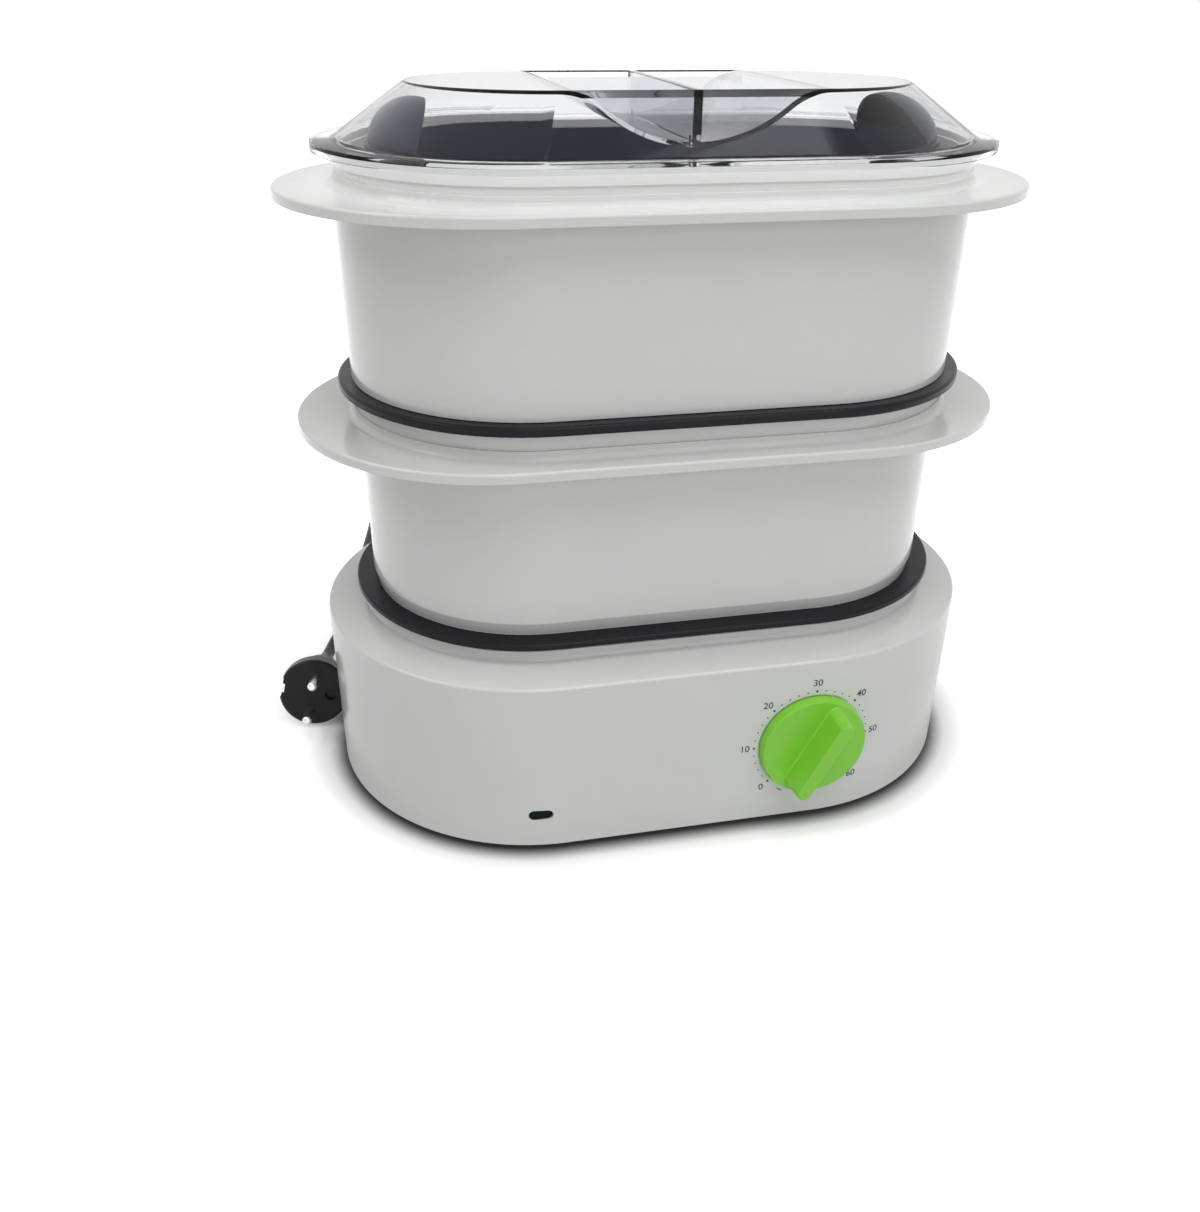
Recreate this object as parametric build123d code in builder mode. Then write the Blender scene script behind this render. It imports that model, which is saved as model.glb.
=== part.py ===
from build123d import *
from math import cos, degrees, hypot, pi, radians, sin, sqrt, tan
import os

os.makedirs("parts", exist_ok=True)

# ---------------------------------------------------------------- driving dimensions, mm
# Every tier is a stadium in plan: two half circles joined by straight sides.
half_straight = 60.0        # middle of the object to the centre of each end arc
running_gap = 0.3           # between pieces that lift off each other
slip_gap = 0.6              # round a spigot that drops into a collar

# base housing
base_radius = 100.0         # half width of the base
base_draft = 0.6            # the wall leans in this much towards its foot
base_wall = 2.6
housing_foot = 3.0          # lower edge of the housing above the table
shoulder_height = 88.5
shoulder_round = 1.4
deck_width = 19.4           # from the wall to the collar, in plan
deck_rise = 3.1             # the deck rises this much towards the collar
collar_wall = 2.2
collar_height = 6.9
collar_fillet = 2.0
groove_depth = 0.7
groove_width = 1.2

# tiers
rim_reach = 4.6             # the dark rims stand this far out over the collar
tier_pitch = 98.6           # from one tier to the same place on the next
tray_rim = 3.4              # thickness of the drip tray's rim
floor_rim = 4.3             # thickness of the basket floor's rim
moulded_wall = 2.0
lower_wall_inset = 3.3      # top of the lower basket's wall inside the collar's face
upper_wall_inset = 0.9      # the same for the upper basket
wall_draft = 0.5
basket_wall = 2.2
basket_collar_inset = 1.2   # the baskets' collars inside the base's
flange_rise = 86.1          # from the dark rim's underside to the top of the flange
flange_stretch = 15.0       # the flange's straight sides are longer by this at each end
flange_reach = 8.9          # flange beyond the collar's face
flange_sheet = 2.0
flange_lip = 2.3            # turned-down edge below the flange
lip_wall = 1.8
flange_fillet = 3.0
basket_collar_groove = 3.4
groove_lift = 4.8           # groove above the flange
upper_collar_extra = 2.5    # the upper basket's collar is this much taller
slot_width = 2.6
slot_length = 11.0
slot_rows = 9
slot_columns = 12
slot_pitch_x = 17.0
slot_pitch_y = 13.0

# lid
lid_flange_reach = 6.9      # lid's flange beyond the collar's face
lid_flange_sheet = 2.0
lid_lip = 2.0
lid_foot_inset = 1.6        # foot of the sloped side inside the collar's face
lid_run = 23.5              # the sloped side leans in this much
lid_rise = 21.6             # from the top of its flange to its flat top
lid_wall = 2.2
trough_half_width = 54.0
trough_depth = 19.1
trough_shoulder = 28.0      # radius of the trough's rounded shoulders
web_half_thickness = 1.9
vent_radius = 2.6
vent_height = 2.4
vent_inset = 3.0            # from the pocket's end to the middle of the vent

# bowl inside the upper basket
bowl_room = 17.5            # bowl's rim to the inside of the upper basket
bowl_taper = 10.0
bowl_height = 94.6
bowl_wall = 2.0
bowl_lip = 1.6
ear_half_width = 38.0
ear_bulge = 18.5            # height of the hood, and its reach to each side of its axis
ear_inset = 14.5            # hood's axis inside the bowl's end
ear_mouth = 1.5             # foot of the hood's mouth outside its axis
ear_lean = 23.0             # degrees that the mouth leans over the bowl

# timer and knob
knob_x = 56.0
knob_z = 44.1
knob_reach = 21.0           # front of the grip bar above the front wall
knob_radius = 25.2
knob_disc = 7.1
knob_sink = 0.3             # back of the knob below the front of the wall
knob_recess = 1.0
knob_gap = 1.1              # round the knob in its recess
off_angle = -170.0          # pointer at rest, clockwise from straight up
bar_width = 11.5
bar_tail = 20.5             # knob axis to the high end of the bar
bar_low = 9.5               # height of the bar's ridge at the nose
bar_round = 0.9
bar_draft = 5.0             # degrees
nose_reach = 25.0
nose_radius = 4.6
nose_gap = 0.5              # between the nose and the wall
dimple_radius = 1.4
shaft_radius = 3.0
shaft_gap = 0.05            # radial running clearance
timer_radius = 21.0
timer_depth = 22.0
bell_radius = 10.0
bell_height = 6.5
bell_wall = 1.0
timer_stand = 9.0           # front wall to the timer's bracket
bracket_sheet = 1.2
bracket_reach = 26.0

# pilot light
pilot_x = -72.0
pilot_z = 20.3
pilot_length = 11.0
pilot_width = 5.0
pilot_fit = 0.15

# water tank and heater
shelf_height = 80.4         # top of the tank's shelf
tank_wall = 2.0
timer_room = 5.8            # back of the timer to the tub
tub_draft = 1.5
tub_floor = 46.0            # top of the tub's floor
tub_step = 19.0             # floor of the tub round the heater's hole
plate_sheet = 1.2
plate_seat = 4.0            # width of the plate's flange
seal_height = 1.4
element_inset = 13.0        # heating element inside the hole
element_radius = 3.6
element_leg = 17.0
cutout_radius = 11.0
cutout_height = 8.0
clamp_gap = 1.5             # clamp ring outside the hole
clamp_width = 8.5
clamp_sheet = 1.6
heater_screw_reach = 14.0   # screws outside the hole
steam_ring_inset = 12.0     # foot of the ring inside the tub's wall
steam_ring_draft = 4.0
steam_ring_height = 29.0

# fasteners, feet and cover
screw_shank = 1.3
screw_head = 3.0
screw_gap = 0.05
boss_radius = 4.2
cover_sheet = 2.4
cover_gap = 0.6
cover_thread = 11.0         # cover screws inside their posts
post_angle = 60.0
post_inset = 12.0           # screw posts inside the wall
foot_angle = 32.0
foot_inset = 20.0
foot_radius = 7.0

# drip tray
tray_depth = 12.8
chimney_half_straight = 26.0
chimney_radius = 20.0
chimney_height = 10.0

# mains lead
cord_radius = 3.3
gland_x = 60.0
gland_z = 16.0
gland_length = 28.0         # boot outside the rear wall
gland_radius = 6.4
gland_tip_radius = 4.4
gland_flange = 7.6
gland_sheet = 1.6
gland_hole = 5.2
tail_length = 22.0          # cord between the rear wall and the terminal block
block_width = 30.0
block_depth = 14.0
block_top = 20.0
wire_radius = 1.1
wire_bend = 4.0
coil_x = 20.0
coil_y = 242.5
coil_middle = 36.3          # radius at the middle of the coil's turns
plug_radius = 18.0
plug_flat = 16.6            # centre to the flats that carry the earth clips
plug_rim = 8.0
grip_radius = 11.0
grip_end = 36.0             # face to the end of the grip
plug_length = 58.0
plug_face = (-174.8, 36.0, 19.7)
plug_yaw = -5.0             # degrees, the face looks to the front and this much to +X
plug_tilt = 14.0            # degrees, the face looks up this much
plug_roll = 12.5            # degrees
pin_spacing = 19.0
pin_radius = 2.4
pin_length = 19.0
pin_root = 6.0              # inside the plug
clip_width = 5.0
clip_sheet = 1.2
clip_length = 13.0
earth_hole_radius = 3.1
earth_hole_reach = 9.0

# ---------------------------------------------------------------- places that follow
middle_y = knob_reach / 2           # the knob's reach is shared out, so the box is centred
front_y = middle_y - base_radius
rear_y = middle_y + base_radius
collar_radius = base_radius - deck_width
collar_foot = shoulder_height + deck_rise
collar_top = collar_foot + collar_height
collar_bore = collar_radius - collar_wall
rim_radius = collar_radius + rim_reach
lower_wall_radius = collar_radius - lower_wall_inset
upper_wall_radius = collar_radius - upper_wall_inset
basket_collar_radius = collar_radius - basket_collar_inset
flange_half_straight = half_straight + flange_stretch
flange_radius = collar_radius + flange_reach
lid_flange_radius = collar_radius + lid_flange_reach
lid_foot_radius = collar_radius - lid_foot_inset
lid_top_radius = lid_foot_radius - lid_run
bowl_radius = upper_wall_radius - basket_wall - bowl_room
bowl_foot_radius = bowl_radius - bowl_taper
tub_radius = base_radius - timer_stand - bracket_sheet - timer_depth - timer_room
heater_hole = tub_radius - tub_step
plate_flange = heater_hole + plate_seat
element_ring = heater_hole - element_inset
clamp_inner = heater_hole + clamp_gap
clamp_outer = clamp_inner + clamp_width
heater_screw_ring = heater_hole + heater_screw_reach
steam_ring_radius = tub_radius - steam_ring_inset
steam_ring_top = steam_ring_radius - steam_ring_draft
post_reach = base_radius - post_inset
foot_reach = base_radius - foot_inset
rim_height = collar_top + running_gap           # underside of the drip tray's rim
tray_top = rim_height + tray_rim
flange_height = rim_height + flange_rise
basket_collar_bore = basket_collar_radius - basket_wall
floor_height = rim_height + tier_pitch          # underside of the basket floor's rim
floor_top = floor_height + floor_rim
upper_foot = floor_top + running_gap
upper_flange = flange_height + tier_pitch
lower_collar_top = floor_height - running_gap
upper_collar_top = lower_collar_top + tier_pitch + upper_collar_extra
lid_seat = upper_collar_top + running_gap
lid_shell = lid_seat + lid_flange_sheet
lid_top = lid_shell + lid_rise
bowl_foot = floor_top + running_gap
cover_top = housing_foot + cover_sheet


def level(height):
    """Horizontal plane at a height, centred on the body."""
    return Plane((0, middle_y, height))


def facing(y):
    """Upright plane across the object that looks to the front."""
    return Plane(origin=(0, y, 0), x_dir=(1, 0, 0), z_dir=(0, -1, 0))


def stadium(radius, height, spread=half_straight):
    with BuildSketch(level(height)) as outline:
        SlotCenterToCenter(2 * spread, 2 * radius)
    return outline.sketch


def stadium_block(radius, low, high, mode=Mode.ADD, spread=half_straight):
    extrude(stadium(radius, low, spread), amount=high - low, mode=mode)


def stadium_taper(low_radius, high_radius, low, high, mode=Mode.ADD, spread=half_straight):
    loft([stadium(low_radius, low, spread), stadium(high_radius, high, spread)], ruled=True, mode=mode)


def stadium_ring(outer, inner, low, high, mode=Mode.ADD, spread=half_straight):
    with BuildSketch(level(low)) as band:
        SlotCenterToCenter(2 * spread, 2 * outer)
        SlotCenterToCenter(2 * spread, 2 * inner, mode=Mode.SUBTRACT)
    extrude(band.sketch, amount=high - low, mode=mode)


def rods(places, radius, low, high, mode=Mode.ADD):
    """Upright cylinders at places measured from the middle of the body."""
    with BuildSketch(level(low)) as spots:
        with Locations(*places):
            Circle(radius)
    extrude(spots.sketch, amount=high - low, mode=mode)


def cross_rods(places, radius, front, back, mode=Mode.ADD):
    """Cylinders that run front to back at (x, z) places."""
    with BuildSketch(facing(back)) as spots:
        with Locations(*places):
            Circle(radius)
    extrude(spots.sketch, amount=back - front, mode=mode)


def four_corners(reach, angle):
    """The same place on all four quarters of the stadium."""
    x = half_straight + reach * cos(radians(angle))
    y = reach * sin(radians(angle))
    return [(side * x, end * y) for side in (1, -1) for end in (1, -1)]


def edges_at(builder, height):
    return builder.edges().filter_by_position(Axis.Z, height - 0.01, height + 0.01)


def outline_edges(builder, height, radius, spread=half_straight):
    """Edges at a height that lie on the stadium of this radius."""
    found = []
    for edge in edges_at(builder, height):
        point = edge @ 0.5
        distance = hypot(max(abs(point.X) - spread, 0), point.Y - middle_y)
        if abs(distance - radius) < 0.01:
            found.append(edge)
    return found


def finish(builder, name):
    builder.part.label = name
    export_step(builder.part, "parts/" + name + ".step")


# ---------------------------------------------------------------- base housing
posts = four_corners(post_reach, post_angle)
feet = four_corners(foot_reach, foot_angle)
tank_screw_places = [(0, post_reach), (0, -post_reach)]
tank_screw_places += [(half_straight + post_reach, 0), (-half_straight - post_reach, 0)]
bracket_front = front_y + timer_stand
timer_screw_places = [(knob_x - bracket_reach + boss_radius, knob_z)]
timer_screw_places += [(knob_x + bracket_reach - boss_radius, knob_z)]
post_foot = cover_top + running_gap
deck_underside = collar_foot - base_wall

with BuildPart() as base_housing:
    stadium_taper(base_radius - base_draft, base_radius, housing_foot, shoulder_height)
    stadium_taper(base_radius, collar_radius, shoulder_height, collar_foot)
    stadium_block(collar_radius, shoulder_height, collar_top)
    fillet(edges_at(base_housing, shoulder_height), shoulder_round)
    fillet(edges_at(base_housing, collar_foot), collar_fillet)
    fillet(edges_at(base_housing, collar_top), collar_wall / 4)
    groove_low = collar_top - 2 * groove_width
    stadium_ring(collar_radius + groove_width, collar_radius - groove_depth,
                 groove_low, groove_low + groove_width, Mode.SUBTRACT)
    cavity_foot = base_radius - base_draft - base_wall
    cavity_top = base_radius - base_wall
    stadium_block(cavity_foot, 0, housing_foot, Mode.SUBTRACT)
    stadium_taper(cavity_foot, cavity_top, housing_foot, shoulder_height - base_wall, Mode.SUBTRACT)
    stadium_taper(cavity_top, collar_bore, shoulder_height - base_wall, deck_underside, Mode.SUBTRACT)
    stadium_block(collar_bore, deck_underside - base_wall, collar_top, Mode.SUBTRACT)
    # posts for the cover's screws, each tied to the wall by a rib
    rods(posts, boss_radius, post_foot, shoulder_height)
    with BuildSketch(level(post_foot + base_wall)) as ribs:
        for end in (1, -1):
            for side in (1, -1):
                turn = side * end * post_angle
                reach = post_reach + boss_radius + 1
                place_x = end * (half_straight + reach * cos(radians(post_angle)))
                place_y = side * reach * sin(radians(post_angle))
                with Locations(Location((place_x, place_y), turn)):
                    Rectangle(2 * boss_radius, base_wall * 0.7)
    extrude(amount=shoulder_height - base_wall - post_foot - base_wall)
    rods(posts, screw_shank + screw_gap, post_foot, post_foot + cover_thread + 1, Mode.SUBTRACT)
    # bosses for the tank's screws
    rods(tank_screw_places, boss_radius, shelf_height + 0.4, shoulder_height)
    rods(tank_screw_places, screw_shank + screw_gap, shelf_height, shoulder_height - 1.5, Mode.SUBTRACT)
    # bosses for the timer's bracket
    cross_rods(timer_screw_places, boss_radius, front_y + 1.5, bracket_front)
    cross_rods(timer_screw_places, screw_shank + screw_gap, front_y + 3.0, bracket_front, Mode.SUBTRACT)
    # round recess under the knob, and the hole for its shaft
    cross_rods([(knob_x, knob_z)], knob_radius + knob_gap, front_y - 1, front_y + knob_recess, Mode.SUBTRACT)
    cross_rods([(knob_x, knob_z)], shaft_radius + 2.5, front_y, front_y + 2 * base_wall, Mode.SUBTRACT)
    # window of the pilot light
    with BuildSketch(facing(front_y + 4 * base_wall)):
        with Locations((pilot_x, pilot_z)):
            SlotOverall(pilot_length + 2 * pilot_fit, pilot_width + 2 * pilot_fit)
    extrude(amount=5 * base_wall, mode=Mode.SUBTRACT)
    # hole for the cord's strain relief
    cross_rods([(gland_x, gland_z)], gland_hole, rear_y - 2 * base_wall, rear_y + 1, Mode.SUBTRACT)
finish(base_housing, "base_housing")

# ---------------------------------------------------------------- water tank
tank_radius = collar_bore - slip_gap / 2
tank_bore = tank_radius - tank_wall
tank_top = collar_top - 2.0
shelf_sheet = 2.4
plate_top = tub_floor + 0.5
seal_top = tub_floor - tank_wall
plate_low = seal_top - seal_height - plate_sheet
heater_screws = [(heater_screw_ring * cos(radians(turn)), heater_screw_ring * sin(radians(turn)))
                 for turn in (30, 150, 270)]

with BuildPart() as water_tank:
    stadium_block(tank_radius, shelf_height - shelf_sheet, tank_top)
    stadium_block(post_reach - boss_radius - 1.2, shelf_height - shelf_sheet, shelf_height)
    rods(tank_screw_places, boss_radius + 1.5, shelf_height - shelf_sheet, shelf_height)
    stadium_block(tank_bore, shelf_height, tank_top, Mode.SUBTRACT)
    stadium_taper(tub_radius - tub_draft, tub_radius, tub_floor - tank_wall, shelf_height - shelf_sheet)
    stadium_taper(tub_radius - tub_draft - tank_wall, tub_radius - tank_wall,
                  tub_floor, shelf_height, Mode.SUBTRACT)
    rods(heater_screws, boss_radius, plate_low, tub_floor - tank_wall)
    rods(heater_screws, screw_shank + screw_gap, plate_low, tub_floor - 0.8, Mode.SUBTRACT)
    rods([(0, 0)], heater_hole, tub_floor - 2 * tank_wall, tub_floor, Mode.SUBTRACT)
    rods(tank_screw_places, screw_shank + 0.2, shelf_height - shelf_sheet, shelf_height, Mode.SUBTRACT)
finish(water_tank, "water_tank")

# ---------------------------------------------------------------- heater group, below the tub's floor
with BuildPart() as heater_plate:
    rods([(0, 0)], plate_flange, plate_low, plate_low + plate_sheet)
    rods([(0, 0)], heater_hole - 0.5, plate_low, plate_top)
    fillet(edges_at(heater_plate, plate_top), 1.5)
    rods([(0, 0)], heater_hole - 0.5 - plate_sheet, plate_low, plate_top - plate_sheet, Mode.SUBTRACT)
finish(heater_plate, "heater_plate")

with BuildPart() as heater_seal:
    rods([(0, 0)], plate_flange, seal_top - seal_height, seal_top)
    rods([(0, 0)], heater_hole, seal_top - seal_height, seal_top, Mode.SUBTRACT)
finish(heater_seal, "heater_seal")

element_z = plate_top - plate_sheet - element_radius
leg_angle = 20.0
with BuildPart() as heating_element:
    with BuildLine(level(element_z)) as element_line:
        CenterArc((0, 0), element_ring, 90 + leg_angle, 360 - 2 * leg_angle)
    with BuildSketch(Plane(origin=element_line.line @ 0, z_dir=element_line.line % 0)):
        Circle(element_radius)
    sweep()
    leg_x = element_ring * sin(radians(leg_angle))
    leg_y = element_ring * cos(radians(leg_angle))
    rods([(leg_x, leg_y), (-leg_x, leg_y)], element_radius, element_z - 8, element_z)
    rods([(leg_x, leg_y), (-leg_x, leg_y)], 1.2, element_z - element_leg, element_z)
finish(heating_element, "heating_element")

cutout_top = plate_top - plate_sheet
with BuildPart() as thermal_cutout:
    rods([(0, 0)], cutout_radius, cutout_top - 2, cutout_top)
    rods([(0, 0)], cutout_radius - 2, cutout_top - cutout_height, cutout_top)
    with BuildSketch(level(cutout_top - cutout_height - 6)):
        with Locations((-5, 0), (5, 0)):
            Rectangle(0.8, 5)
    extrude(amount=7)
finish(thermal_cutout, "thermal_cutout")

clamp_top = plate_low
with BuildPart() as heater_clamp_ring:
    rods([(0, 0)], clamp_outer, clamp_top - clamp_sheet, clamp_top)
    rods(heater_screws, boss_radius + 1, clamp_top - clamp_sheet, clamp_top)
    rods([(0, 0)], clamp_inner, clamp_top - clamp_sheet, clamp_top, Mode.SUBTRACT)
    rods(heater_screws, screw_shank + 0.2, clamp_top - clamp_sheet, clamp_top, Mode.SUBTRACT)
finish(heater_clamp_ring, "heater_clamp_ring")


def screws(places, head_low, head_height, shank_top):
    """Screws driven upwards: a round head and a plain shank."""
    rods(places, screw_head, head_low, head_low + head_height)
    rods(places, screw_shank, head_low + head_height, shank_top)


with BuildPart() as heater_screw_set:
    screws(heater_screws, clamp_top - clamp_sheet - 2.0, 2.0, tub_floor - 1.2)
finish(heater_screw_set, "heater_screws")

with BuildPart() as tank_screws:
    screws(tank_screw_places, shelf_height - shelf_sheet - 2.0, 2.0, shoulder_height - 2.5)
finish(tank_screws, "tank_screws")

# ---------------------------------------------------------------- steam ring, loose round the heater
ring_low = tub_floor + running_gap
with BuildPart() as steam_ring:
    with BuildSketch(level(ring_low)):
        Circle(steam_ring_radius)
    with BuildSketch(level(ring_low + steam_ring_height)):
        Circle(steam_ring_top)
    loft()
    with BuildSketch(level(ring_low)) as ring_bore:
        Circle(steam_ring_radius - moulded_wall)
    with BuildSketch(level(ring_low + steam_ring_height)) as ring_mouth:
        Circle(steam_ring_top - moulded_wall)
    loft([ring_bore.sketch, ring_mouth.sketch], mode=Mode.SUBTRACT)
    with BuildSketch(level(ring_low)):
        with PolarLocations(steam_ring_radius - moulded_wall / 2, 6):
            Rectangle(4 * moulded_wall, 9)
    extrude(amount=6, mode=Mode.SUBTRACT)
finish(steam_ring, "steam_ring")

# ---------------------------------------------------------------- bottom cover, its screws and the feet
cover_radius = base_radius - base_draft - base_wall - cover_gap
gland_seat = rear_y - base_wall - base_draft     # inner face of the rear wall
gland_end = gland_seat - gland_sheet
block_y = gland_end - tail_length - block_depth / 2 - middle_y
clamp_y = gland_end - tail_length / 2 - middle_y
clamp_low = gland_z + cord_radius + 0.05
clamp_sheet_height = 2.0
clamp_places = [(gland_x - 9, clamp_y), (gland_x + 9, clamp_y)]
with BuildPart() as bottom_cover:
    stadium_block(cover_radius, housing_foot, cover_top)
    stadium_ring(cover_radius, cover_radius - 1.8, cover_top, cover_top + 2.4)
    rods(posts, boss_radius, cover_top, cover_top + running_gap - 0.05)
    rods(posts, screw_shank + 0.3, housing_foot, cover_top + 1, Mode.SUBTRACT)
    rods(posts, screw_head + 0.4, housing_foot, housing_foot + 1.4, Mode.SUBTRACT)
    rods(feet, foot_radius + 0.2, housing_foot, housing_foot + 0.9, Mode.SUBTRACT)
    with BuildSketch(level(housing_foot)):
        with GridLocations(9, 34, 7, 2):
            SlotOverall(22, 3.2, rotation=90)
    extrude(amount=cover_sheet, mode=Mode.SUBTRACT)
    # posts and cradle of the cord clamp
    rods(clamp_places, 3.4, cover_top, clamp_low)
    rods(clamp_places, screw_shank + screw_gap, clamp_low - 8, clamp_low, Mode.SUBTRACT)
    with BuildSketch(level(cover_top)):
        with Locations((gland_x, clamp_y)):
            Rectangle(8, 3)
    extrude(amount=gland_z - cord_radius - 0.05 - cover_top)
finish(bottom_cover, "bottom_cover")

with BuildPart() as cover_screws:
    screws(posts, housing_foot + 0.1, 1.3, post_foot + cover_thread)
finish(cover_screws, "cover_screws")

with BuildPart() as rubber_feet:
    rods(feet, foot_radius, 0, housing_foot + 0.8)
    fillet(edges_at(rubber_feet, 0), 1.0)
finish(rubber_feet, "rubber_feet")

# ---------------------------------------------------------------- timer
bracket_back = bracket_front + bracket_sheet
timer_back = bracket_back + timer_depth
bush_radius = shaft_radius + 2.0
with BuildPart() as timer_bracket:
    with BuildSketch(facing(bracket_back)):
        with Locations((knob_x, knob_z)):
            SlotOverall(2 * bracket_reach, 2 * boss_radius + 8)
            Circle(bush_radius + 0.1, mode=Mode.SUBTRACT)
        with Locations(*timer_screw_places):
            Circle(screw_shank + 0.2, mode=Mode.SUBTRACT)
    extrude(amount=bracket_sheet)
finish(timer_bracket, "timer_bracket")

with BuildPart() as timer_screws:
    cross_rods(timer_screw_places, screw_head, bracket_back, bracket_back + 2.0)
    cross_rods(timer_screw_places, screw_shank, front_y + 4.0, bracket_back)
finish(timer_screws, "timer_screws")

with BuildPart() as timer_body:
    cross_rods([(knob_x, knob_z)], timer_radius - 4, bracket_back, bracket_back + 3)
    cross_rods([(knob_x, knob_z)], timer_radius, bracket_back + 3, timer_back)
    cross_rods([(knob_x, knob_z)], bush_radius, bracket_front - 3.5, bracket_back)
    cross_rods([(knob_x, knob_z)], shaft_radius + shaft_gap, bracket_front - 3.5, timer_back - 6,
               Mode.SUBTRACT)
finish(timer_body, "timer_body")

bell_y = (bracket_back + timer_back) / 2 - middle_y
bell_top = knob_z - timer_radius
with BuildPart() as timer_bell:
    rods([(knob_x, bell_y)], bell_radius, bell_top - bell_height, bell_top)
    fillet(edges_at(timer_bell, bell_top), bell_height * 0.7)
    offset(amount=-bell_wall, openings=timer_bell.faces().sort_by(Axis.Z)[0])
finish(timer_bell, "timer_bell")

# ---------------------------------------------------------------- knob and its shaft
pointer = (sin(radians(off_angle)), 0, cos(radians(off_angle)))
knob_plane = Plane(origin=(knob_x, front_y, knob_z), x_dir=pointer, z_dir=(0, -1, 0))
bar_length = bar_tail + nose_reach
shaft_tip = knob_reach - 8.0
socket_foot = 1.2           # where the knob's hub starts above the front wall

with BuildPart() as timer_shaft:
    cross_rods([(knob_x, knob_z)], shaft_radius, front_y - shaft_tip, timer_back - 7)
    with BuildSketch(knob_plane.offset(socket_foot)):
        with Locations((shaft_radius, 0)):
            Rectangle(1.8, 2 * shaft_radius)
    extrude(amount=shaft_tip, mode=Mode.SUBTRACT)
finish(timer_shaft, "timer_shaft")

ridge_fall = knob_reach - bar_low
ridge_start = bar_tail - (knob_reach - knob_disc) * tan(radians(bar_draft)) - bar_round
ridge_plane = Plane(
    origin=knob_plane.from_local_coords(Vector(-ridge_start, 0, knob_reach)),
    x_dir=knob_plane.y_dir,
    z_dir=knob_plane.from_local_coords(Vector(ridge_fall, 0, ridge_start + nose_reach)) - knob_plane.origin)
with BuildPart() as timer_knob:
    with BuildSketch(knob_plane.offset(knob_disc - 0.5)):
        with Locations((-(bar_tail - nose_reach) / 2, 0)):
            SlotOverall(bar_length, bar_width)
    extrude(amount=knob_reach, taper=bar_draft)
    split(bisect_by=ridge_plane, keep=Keep.BOTTOM)
    fillet(timer_knob.edges().filter_by(lambda e: ridge_plane.contains(e.center())), bar_round)
    with BuildSketch(knob_plane.offset(-knob_sink)):
        Circle(knob_radius)
    extrude(amount=knob_disc + knob_sink)
    with BuildSketch(knob_plane.offset(nose_gap)):
        with Locations((nose_reach, 0)):
            Circle(nose_radius)
    extrude(amount=knob_disc - nose_gap)
    with BuildSketch(knob_plane.offset(-knob_sink)):
        Circle(knob_radius - 2.2)
        Circle(shaft_radius + 3.0, mode=Mode.SUBTRACT)
    extrude(amount=knob_disc + knob_sink - 2.4, mode=Mode.SUBTRACT)
    with BuildSketch(knob_plane.offset(-knob_sink)):
        Circle(shaft_radius + 3.1)
    extrude(amount=socket_foot + knob_sink, mode=Mode.SUBTRACT)
    with BuildSketch(knob_plane.offset(socket_foot)):
        Circle(shaft_radius + shaft_gap)
        with Locations((shaft_radius + 0.05, 0)):
            Rectangle(1.8, 2.2 * shaft_radius, mode=Mode.SUBTRACT)
    extrude(amount=shaft_tip - socket_foot + 0.3, mode=Mode.SUBTRACT)
    with BuildSketch(knob_plane.offset(knob_disc - 1.2)):
        with Locations((nose_reach, 0)):
            Circle(dimple_radius)
    extrude(amount=knob_reach, mode=Mode.SUBTRACT)
finish(timer_knob, "timer_knob")

# ---------------------------------------------------------------- pilot light
lens_front = middle_y - sqrt(base_radius ** 2 - (abs(pilot_x) + pilot_length / 2 - half_straight) ** 2)
lamp_radius = 2.2
with BuildPart() as pilot_lens:
    with BuildSketch(facing(lens_front + 14)):
        with Locations((pilot_x, pilot_z)):
            SlotOverall(pilot_length, pilot_width)
    extrude(amount=14)
    fillet(pilot_lens.faces().sort_by(Axis.Y)[0].edges(), 0.6)
    with BuildSketch(facing(lens_front + base_wall + 3.5)):
        with Locations((pilot_x, pilot_z)):
            SlotOverall(pilot_length + 3, pilot_width + 3)
    extrude(amount=1.5)
    cross_rods([(pilot_x, pilot_z)], lamp_radius + 0.05, lens_front + 2, lens_front + 15, Mode.SUBTRACT)
finish(pilot_lens, "pilot_lens")

with BuildPart() as pilot_lamp:
    cross_rods([(pilot_x, pilot_z)], lamp_radius, lens_front + 3, lens_front + 17)
    fillet(pilot_lamp.faces().sort_by(Axis.Y)[0].edges(), 1.5)
finish(pilot_lamp, "pilot_lamp")

# ---------------------------------------------------------------- drip tray, its rim is the lower dark ring
tray_radius = tank_bore - slip_gap
spigot_radius = tray_radius - 0.1
tray_bore = tray_radius - moulded_wall
tray_ledge = rim_height + 0.8
tray_foot = rim_height - tray_depth - moulded_wall

with BuildPart() as drip_tray:
    stadium_block(rim_radius, rim_height, tray_top)
    fillet(edges_at(drip_tray, tray_top) + edges_at(drip_tray, rim_height), 1.2)
    stadium_block(spigot_radius + slip_gap, tray_ledge, tray_top, Mode.SUBTRACT)
    stadium_taper(tray_radius - 1, tray_radius, tray_foot, rim_height)
    stadium_taper(tray_bore - 1, tray_bore, tray_foot + moulded_wall, tray_ledge, Mode.SUBTRACT)
    stadium_block(chimney_radius, tray_foot, tray_foot + chimney_height, spread=chimney_half_straight)
    stadium_block(chimney_radius - moulded_wall, tray_foot, tray_foot + chimney_height,
                  Mode.SUBTRACT, chimney_half_straight)
finish(drip_tray, "drip_tray")


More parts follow.
